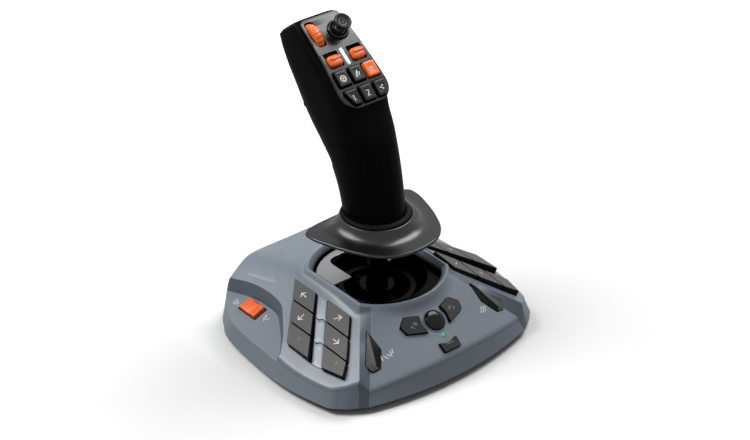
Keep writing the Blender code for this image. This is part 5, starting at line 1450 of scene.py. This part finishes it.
# =============================== base controls ===============================
def build_home_button():
    at = seat_frame(*HOME_PLAN)
    r, rise = HOME_RADIUS, HOME_RISE
    profile = [(r, -5.0 * MM), (r, -0.1 * MM), (0.985 * r, 0.25 * MM), (0.94 * r, 0.42 * rise)]
    profile += [(0.94 * r * math.cos(a), 0.42 * rise + 0.56 * rise * math.sin(a))
                for a in (math.radians(8 * k) for k in range(1, 11))]
    dome = new_object("home_button_dome", domed(profile, 96), at)
    smooth(dome, 60.0)
    dress(dome, GLOSS, "home_button", ("home_button",))
    lens_at = seat_frame(*LENS_PLAN)
    profile = [(LENS_RADIUS, -4 * MM), (LENS_RADIUS, 0.05 * MM), (0.9 * LENS_RADIUS, 0.2 * MM),
               (0.6 * LENS_RADIUS, 0.28 * MM), (0.2 * LENS_RADIUS, LENS_RISE)]
    lens = new_object("status_lens_dome", domed(profile, 40), lens_at)
    smooth(lens, 60.0)
    dress(lens, GREEN, "base", ("status_lens",))


def build_side_rockers():
    half_u, half_v = SIDE_ROCKER_SIZE[0] / 2 - 0.7 * MM, SIDE_ROCKER_SIZE[1] / 2 - 0.9 * MM
    rise = SIDE_ROCKER_RISE
    profile = [(-1.0, -SIDE_ROCKER_DEPTH), (-1.0, 0.62 * rise), (-0.93, 0.86 * rise), (-0.62, rise),
               (-0.3, 0.78 * rise), (0.0, 0.5 * rise), (0.3, 0.78 * rise), (0.62, rise),
               (0.93, 0.86 * rise), (1.0, 0.62 * rise), (1.0, -SIDE_ROCKER_DEPTH)]
    top = [tuple(p) for p in smooth_path(profile[1:-1], 4)]
    outline = [profile[0]] + top + [profile[-1]]
    for side, word in SIDES:
        at = side_rocker_frame(side)
        rings = []
        for share, lower in ((-1.0, 0.35), (-0.95, 0.1), (-0.88, 0.0), (0.88, 0.0), (0.95, 0.1),
                             (1.0, 0.35)):
            rings.append([(share * half_u, v * half_v, h - (lower * MM if h > 0 else 0.0))
                          for v, h in outline])
        rocker = new_object(f"{word}_side_rocker_cap", loft(rings), at)
        for v in (-0.78, -0.62, -0.46, 0.46, 0.62, 0.78):
            slit = rounded_rectangle(9.0 * MM, 0.45 * MM, 0.2 * MM, 2)
            groove = prism(slit, 0.84 * rise, rise * 2)
            cutter = new_object("groove", groove, at @ Matrix.Translation((0, v * half_v, 0)))
            cut(rocker, cutter)
            drop(cutter)
        smooth(rocker)
        dress(rocker, ORANGE, f"{word}_side_rocker", (f"{word}_side_rocker",))


# =============================== printed marks and fine lines ===============================
def arrow(length=6.2, width=0.75, barb=2.6):
    w, h = width / 2, length / 2
    r = width * 0.3536
    half = [(h + 2 * r, 0.0), (h - barb + r, barb + r), (h - barb - r, barb - r),
            (h - 1.2071 * width, w), (-h, w)]
    return half + [(x, -y) for x, y in reversed(half[1:])]


def bar(x, y, length, width=0.8, angle=0.0):
    a = math.radians(angle)
    c, s = math.cos(a), math.sin(a)
    corners = ((length / 2, width / 2), (-length / 2, width / 2), (-length / 2, -width / 2),
               (length / 2, -width / 2))
    return [(x + u * c - v * s, y + u * s + v * c) for u, v in corners]


def dot(x, y, radius, sides=20):
    return [(x + radius * math.cos(2 * math.pi * k / sides),
             y + radius * math.sin(2 * math.pi * k / sides)) for k in range(sides)]


def turned_shape(points, angle, x=0.0, y=0.0):
    a = math.radians(angle)
    return [(x + u * math.cos(a) - v * math.sin(a), y + u * math.sin(a) + v * math.cos(a))
            for u, v in points]


def print_on(name, at, shapes, low, high, body, material=None):
    """Thin raised print: flat outlines in mm on a frame, extruded up from just under the face."""
    bm = bmesh.new()
    for shape in shapes:
        piece = prism([(x * MM, y * MM) for x, y in shape], low, high)
        mesh = bpy.data.meshes.new("one")
        bmesh.ops.recalc_face_normals(piece, faces=piece.faces)
        piece.to_mesh(mesh)
        piece.free()
        bm.from_mesh(mesh)
        bpy.data.meshes.remove(mesh)
    obj = new_object(name, bm, at)
    return dress(obj, material or MARK, body, ())


PRINT_LOW, PRINT_HIGH = -0.10 * MM, 0.05 * MM


def build_key_marks():
    """Generic arrows and dots on the key clusters."""
    arrows = {("outer", 1): 84.0, ("outer", 2): 180.0, ("inner", 1): -42.0, ("inner", 2): -92.0}
    for side, word in SIDES:
        for (column, corner, last), at in zip(COLUMNS, column_frames(side)):
            keys, _ = column_keys(corner, last)
            lift = column_lift(side, corner)

            def low(x, y, lift=lift):
                return KEY_STAND + PRINT_LOW + lift(x, y)

            def high(x, y, lift=lift):
                return KEY_STAND + PRINT_HIGH + lift(x, y)

            for row, outline in enumerate(keys):
                points = turned_for(outline, side)
                u = sum(p[0] for p in points) / len(points) / MM
                v = sum(p[1] for p in points) / len(points) / MM
                body = f"{word}_{column}_key_{row + 1}"
                if row == 2:
                    ring = [dot(u, v, 0.45, 14), dot(u + 1.6, v + 0.4, 0.45, 14),
                            dot(u + 0.7, v - 1.3, 0.45, 14)]
                    print_on(f"{body}_mark", at, ring, low, high, body, DIM_MARK)
                    continue
                if side > 0:
                    print_on(f"{body}_mark", at, [bar(u, v, 4.0, 0.75, 45 + 45 * row)], low, high,
                             body)
                    continue
                angle = arrows[(column, row + 1)]
                print_on(f"{body}_mark", at, [turned_shape(arrow(), angle, u, v)], low, high, body)


def draped(name, corner, low, high, body, material, rows=10, columns=6, edge=0.0):
    """Thin sheet that follows the shell; corner(t, w) gives its plan point for t and w in 0..1."""
    rings = []
    for k in range(rows + 1):
        ring = []
        for j in range(columns + 1):
            x, y = corner(k / rows, j / columns)
            rim = k in (0, rows) or j in (0, columns)
            ring.append((x, y, skin_height(x, y) + high - (edge if rim else 0.0)))
        for j in range(columns, -1, -1):
            x, y = corner(k / rows, j / columns)
            ring.append((x, y, skin_height(x, y) + low))
        rings.append(ring)
    sheet = new_object(name, loft(rings))
    smooth(sheet, 40.0)
    return dress(sheet, material, body, ())


def bilinear(a, b, c, d):
    def place(t, w):
        return tuple((Vector(a) * (1 - t) + Vector(d) * t) * (1 - w)
                     + (Vector(b) * (1 - t) + Vector(c) * t) * w)
    return place


def build_strips():
    """Light strip between the two key columns: three plates with wavy gaps and small dots."""
    for side, word in SIDES:
        outer_at, inner_at = column_frames(side)
        outer_keys, _ = column_keys(OUTER_COLUMN_CORNER)
        inner_keys, _ = column_keys(INNER_COLUMN_CORNER, LAST_KEY_CUT)
        first, last = outer_keys[0], outer_keys[2]
        gap = KEY_GAP + 0.5 * MM

        def plan(at, u, v):
            spot = at @ Vector((-side * u, v, 0))
            return Vector((spot.x, spot.y))

        left = (plan(outer_at, first[3][0], first[3][1] - gap),
                plan(outer_at, last[2][0], last[2][1] - gap))
        start, end = inner_keys[0][0], inner_keys[2][1]
        right = (plan(inner_at, start[0], start[1] + gap),
                 plan(inner_at, end[0], end[1] + gap))

        def strip_point(t, w):
            a = left[0].lerp(left[1], t)
            b = right[0].lerp(right[1], t)
            return a.lerp(b, w)

        # The bed under the plates is a black sheet: painted shade in the gaps round them.
        draped(f"{word}_strip_bed", strip_point, -0.8 * MM, 0.10 * MM, "base", BLACK_PAINTED_SHADE, 24, 4)
        for k in range(3):
            start_t, end_t = k / 3, (k + 1) / 3

            def plate_point(t, w, start_t=start_t, end_t=end_t, k=k):
                wave = 0.020 * math.sin(2 * math.pi * w)
                t0 = start_t + (wave + 0.010 if k else 0.006)
                t1 = end_t + (wave - 0.010 if k < 2 else -0.004)
                return strip_point(t0 + (t1 - t0) * t, 0.07 + 0.86 * w)

            draped(f"{word}_strip_plate_{k + 1}", plate_point, -0.5 * MM, 0.75 * MM, "base", STRIP,
                   12, 12, 0.14 * MM)
            for t, w in ((0.2, 0.62), (0.8, 0.42)):
                x, y = plate_point(t, w)
                at = seat_frame(x, y, 1.5 * MM)
                print_on(f"{word}_strip_dot_{k + 1}_{'a' if t < 0.5 else 'b'}", at,
                         [dot(0, 0, 0.55)], 0.3 * MM, 0.85 * MM, "base")


def build_pads():
    """Raised outline pads on the plateau behind the recesses."""
    corners = ((-72.4, 65.9), (-65.0, 35.9), (-29.4, 70.1), (-56.0, 82.0))
    for side, word in SIDES:
        points = [(-side * x * MM, y * MM) for x, y in corners]
        draped(f"{word}_shell_pad", bilinear(*points), -0.8 * MM, 0.42 * MM, "base", SHELL, 16, 12,
               0.3 * MM)


def build_shell_marks():
    """Generic strokes beside the side rockers and the wing keys."""
    for side, word in SIDES:
        at = side_rocker_frame(side)
        inverse = at.inverted()
        for k, (x, y, turn) in enumerate(((-87.6, 59.3, 25.0), (-84.5, 25.2, -20.0))):
            spot = inverse @ Vector((-side * x * MM, y * MM, recess_floor(x * MM)))
            u, v = spot.x / MM, spot.y / MM
            shapes = [bar(u - 1.9, v - 0.4, 3.4, 0.5, 70 + turn), bar(u, v, 4.4, 0.5, 60 + turn),
                      bar(u + 1.9, v + 0.4, 3.4, 0.5, 50 + turn),
                      bar(u + 0.2, v - 3.0, 3.2, 0.5, turn)]
            print_on(f"{word}_rocker_strokes_{k + 1}", at, shapes, -0.2 * MM, 0.07 * MM, "base")
    at = seat_frame(-49.2 * MM, -79.6 * MM, 3 * MM)
    fan = [bar(-5.0, 1.2, 4.6, 0.65, 78), bar(-1.8, -0.2, 4.6, 0.65, 118),
           bar(1.4, -0.6, 4.8, 0.65, 125), bar(3.4, 0.3, 3.6, 0.65, 75),
           bar(5.4, 0.6, 3.6, 0.65, 65)]
    print_on("left_wing_strokes", at, fan, -0.5 * MM, 0.12 * MM, "base")
    at = seat_frame(47.6 * MM, -79.6 * MM, 3 * MM)
    lines = [bar(k * 2.3 - 2.3, 0.0, 6.2, 0.7, 62) for k in range(3)]
    print_on("right_wing_strokes", at, lines, -0.5 * MM, 0.12 * MM, "base")


def build_front_marks():
    """Plain bars and dots in the places of the menu and mode keys' legends."""
    for side, word in SIDES:
        at, _ = key_frame(for_side(MENU_KEY, side))
        low, high = 2.02 * MM, 2.16 * MM
        shapes = [bar(-1.6 * side, 0.9, 3.4, 0.5, 20 * side),
                  bar(-1.6 * side, -0.6, 3.4, 0.5, 20 * side),
                  dot(2.4 * side, -0.5, 0.6), dot(1.4 * side, -2.3, 0.45)]
        print_on(f"{word}_menu_marks", at, shapes, low, high, f"{word}_menu_key", DIM_MARK)
    at, _ = key_frame(MODE_KEY)
    print_on("mode_key_marks", at, [bar(-2.4, 0.0, 1.6, 0.5, 0), bar(0.2, 0.0, 1.6, 0.5, 0),
                                    bar(2.8, 0.0, 1.6, 0.5, 0)], 1.92 * MM, 2.06 * MM, "mode_key",
             DIM_MARK)


def ring_mark(x, y, radius, width, sides=40):
    outer, inner = dot(x, y, radius, sides), dot(x, y, radius - width, sides)
    return [[outer[k], outer[(k + 1) % sides], inner[(k + 1) % sides], inner[k]]
            for k in range(sides)]


def numeral(text, x, y, size):
    """Outlines of a plain 1 or 2 drawn with bars."""
    h, w = size, 0.55 * size
    if text == "1":
        return [bar(x + 0.1, y, h, 0.6, 90), bar(x - 0.45, y + 0.36 * h, 0.9, 0.55, 40)]
    return [bar(x, y + h / 2 - 0.3, w, 0.55, 0), bar(x, y - h / 2 + 0.3, w + 0.2, 0.6, 0),
            bar(x + w / 2 - 0.1, y + 0.24 * h, 0.42 * h, 0.55, 90),
            bar(x, y - 0.12 * h, 0.82 * w + 0.5, 0.6, 48)]


def build_thumb_marks():
    """Generic ring, bars, numbers and dots on the six thumb keys."""
    marks = {
        ("upper", "left"): (ring_mark(0, -0.3, 2.7, 0.9) + [dot(0, -0.3, 0.9)], MARK),
        ("upper", "middle"): ([bar(-0.7, -0.2, 5.6, 1.1, 62), bar(1.3, -0.6, 3.0, 0.9, 62)], MARK),
        ("upper", "right"): ([bar(-0.8, 0.0, 2.6, 0.5, 70), bar(0.8, 0.0, 2.6, 0.5, 70)], MARK),
        ("lower", "left"): (numeral("1", 0.3, -0.6, 4.6), MARK),
        ("lower", "middle"): (numeral("2", 0.0, -0.6, 4.6), MARK),
        ("lower", "right"): ([dot(-1.2, -0.2, 0.8), dot(0.6, 0.9, 0.7), dot(0.5, -1.5, 0.7)], MARK),
    }
    for s, row in zip(THUMB_ROWS, ("upper", "lower")):
        for place, column in zip((-1, 0, 1), ("left", "middle", "right")):
            shapes, material = marks[(row, column)]
            node = f"thumb_key_{row}_{column}"
            at = panel_frame(place * THUMB_PITCH, s)
            print_on(f"{node}_mark", at, shapes, 1.75 * MM, 2.38 * MM, node, material)
            # The lip bar stands a little proud of the key; its lighter grey is a painted highlight on
            # the top edge.
            lip = [bar(-0.2, 4.6, 6.8, 0.45, 0)]
            if (row, column) != ("upper", "right"):
                print_on(f"{node}_lip", at, lip, 1.8 * MM, 2.62 * MM, node, LIP_HIGHLIGHT)


def build_home_ring():
    """Ring round the home button, turned from a circle with bpy's own tools."""
    at = seat_frame(*HOME_PLAN)
    deselect()
    bpy.ops.mesh.primitive_torus_add(major_segments=96, minor_segments=12,
                                     major_radius=HOME_RADIUS + KEY_GAP + 0.35 * MM,
                                     minor_radius=0.55 * MM, location=(0, 0, 0))
    ring = bpy.context.object
    ring.name = "home_button_ring"
    ring.data.transform(Matrix.Scale(0.6, 4, (0, 0, 1)))
    ring.data.transform(at @ Matrix.Translation((0, 0, 0.15 * MM)))
    smooth(ring, 60.0)
    dress(ring, DARK_SLATE_AND_SHADE, "base", ())


# =============================== build ===============================
build_shell()
build_plain_nodes()
build_keys()
build_hand_rest()
build_grip()
build_screws()
build_collar()
build_panel()
build_thumb_rockers()
build_light_bar()
build_wheel()
build_mini_stick()
build_home_button()
build_side_rockers()
build_key_marks()
build_strips()
build_pads()
build_shell_marks()
build_front_marks()
build_thumb_marks()
build_home_ring()


# =============================== studio ===============================
def build_studio():
    bpy.ops.mesh.primitive_plane_add(size=6.0, location=(0, 0, 0))
    floor = bpy.context.object
    floor.name = "studio_floor"
    material = bpy.data.materials.new("studio_white")
    material.use_nodes = True
    shader = material.node_tree.nodes["Principled BSDF"]
    shader.inputs["Roughness"].default_value = 0.9
    shader.inputs["Specular IOR Level"].default_value = 0.1
    floor_nodes, floor_links = material.node_tree.nodes, material.node_tree.links
    floor_path = floor_nodes.new("ShaderNodeLightPath")
    tone = floor_nodes.new("ShaderNodeMix")
    tone.data_type = "RGBA"
    tone.inputs["A"].default_value = (0.42, 0.42, 0.42, 1)
    tone.inputs["B"].default_value = (0.86, 0.86, 0.86, 1)
    floor_links.new(floor_path.outputs["Is Camera Ray"], tone.inputs["Factor"])
    floor_links.new(tone.outputs["Result"], shader.inputs["Base Color"])
    # Far from the object the floor turns to the white of the backdrop, for the camera alone.
    place = floor_nodes.new("ShaderNodeTexCoord")
    away = floor_nodes.new("ShaderNodeVectorMath")
    away.operation = "LENGTH"
    spread = floor_nodes.new("ShaderNodeMapRange")
    spread.inputs["From Min"].default_value = 0.25
    spread.inputs["From Max"].default_value = 0.9
    spread.inputs["To Max"].default_value = 0.8
    seen_far = floor_nodes.new("ShaderNodeMath")
    seen_far.operation = "MULTIPLY"
    floor_links.new(place.outputs["Object"], away.inputs[0])
    floor_links.new(away.outputs["Value"], spread.inputs["Value"])
    floor_links.new(spread.outputs["Result"], seen_far.inputs[0])
    floor_links.new(floor_path.outputs["Is Camera Ray"], seen_far.inputs[1])
    shader.inputs["Emission Color"].default_value = (1, 1, 1, 1)
    floor_links.new(seen_far.outputs[0], shader.inputs["Emission Strength"])
    floor.data.materials.append(material)

    world = bpy.data.worlds.new("studio_air")
    bpy.context.scene.world = world
    world.use_nodes = True
    nodes, links = world.node_tree.nodes, world.node_tree.links
    back = nodes["Background"]
    back.inputs["Color"].default_value = (1, 1, 1, 1)
    path = nodes.new("ShaderNodeLightPath")
    level = nodes.new("ShaderNodeMix")
    level.data_type = "FLOAT"
    level.inputs["A"].default_value = 0.19
    level.inputs["B"].default_value = 1.0
    seen = nodes.new("ShaderNodeMath")
    seen.operation = "MAXIMUM"
    links.new(path.outputs["Is Camera Ray"], seen.inputs[0])
    links.new(path.outputs["Is Glossy Ray"], seen.inputs[1])
    shown = nodes.new("ShaderNodeMath")
    shown.operation = "MAXIMUM"
    links.new(seen.outputs[0], shown.inputs[0])
    links.new(path.outputs["Is Transmission Ray"], shown.inputs[1])
    links.new(shown.outputs[0], level.inputs["Factor"])
    links.new(level.outputs["Result"], back.inputs["Strength"])

    rows = (
        ("key_light", (-0.85, 0.75, 1.50), 0.9, 0.9, 27.0),
        ("top_light", (0.85, 0.10, 1.25), 0.7, 0.7, 15.0),
    )
    for name, place, width, height, power in rows:
        data = bpy.data.lights.new(name, "AREA")
        data.shape = "RECTANGLE"
        data.size = width
        data.size_y = height
        data.energy = power
        lamp = bpy.data.objects.new(name, data)
        bpy.context.scene.collection.objects.link(lamp)
        way = Vector((0.0, 0.0, 0.09)) - Vector(place)
        turn = way.to_track_quat("-Z", "Y").to_matrix().to_4x4()
        lamp.matrix_world = Matrix.Translation(place) @ turn


def build_camera():
    data = bpy.data.cameras.new("photo_view")
    data.lens = 91.76
    data.sensor_width = 36.0
    data.sensor_fit = "HORIZONTAL"
    data.clip_end = 20.0
    camera = bpy.data.objects.new("photo_view", data)
    bpy.context.scene.collection.objects.link(camera)
    across = Vector((0.7669, -0.6417, 0.0)).normalized()
    back = Vector((-0.5501, -0.6574, 0.5150)).normalized()
    up = back.cross(across).normalized()
    at = Matrix((across, up, back)).transposed().to_4x4()
    at.translation = Vector((-0.80775, -0.97141, 0.85249))
    camera.matrix_world = at
    bpy.context.scene.camera = camera


build_studio()
build_camera()
bpy.context.scene.view_settings.view_transform = "Standard"
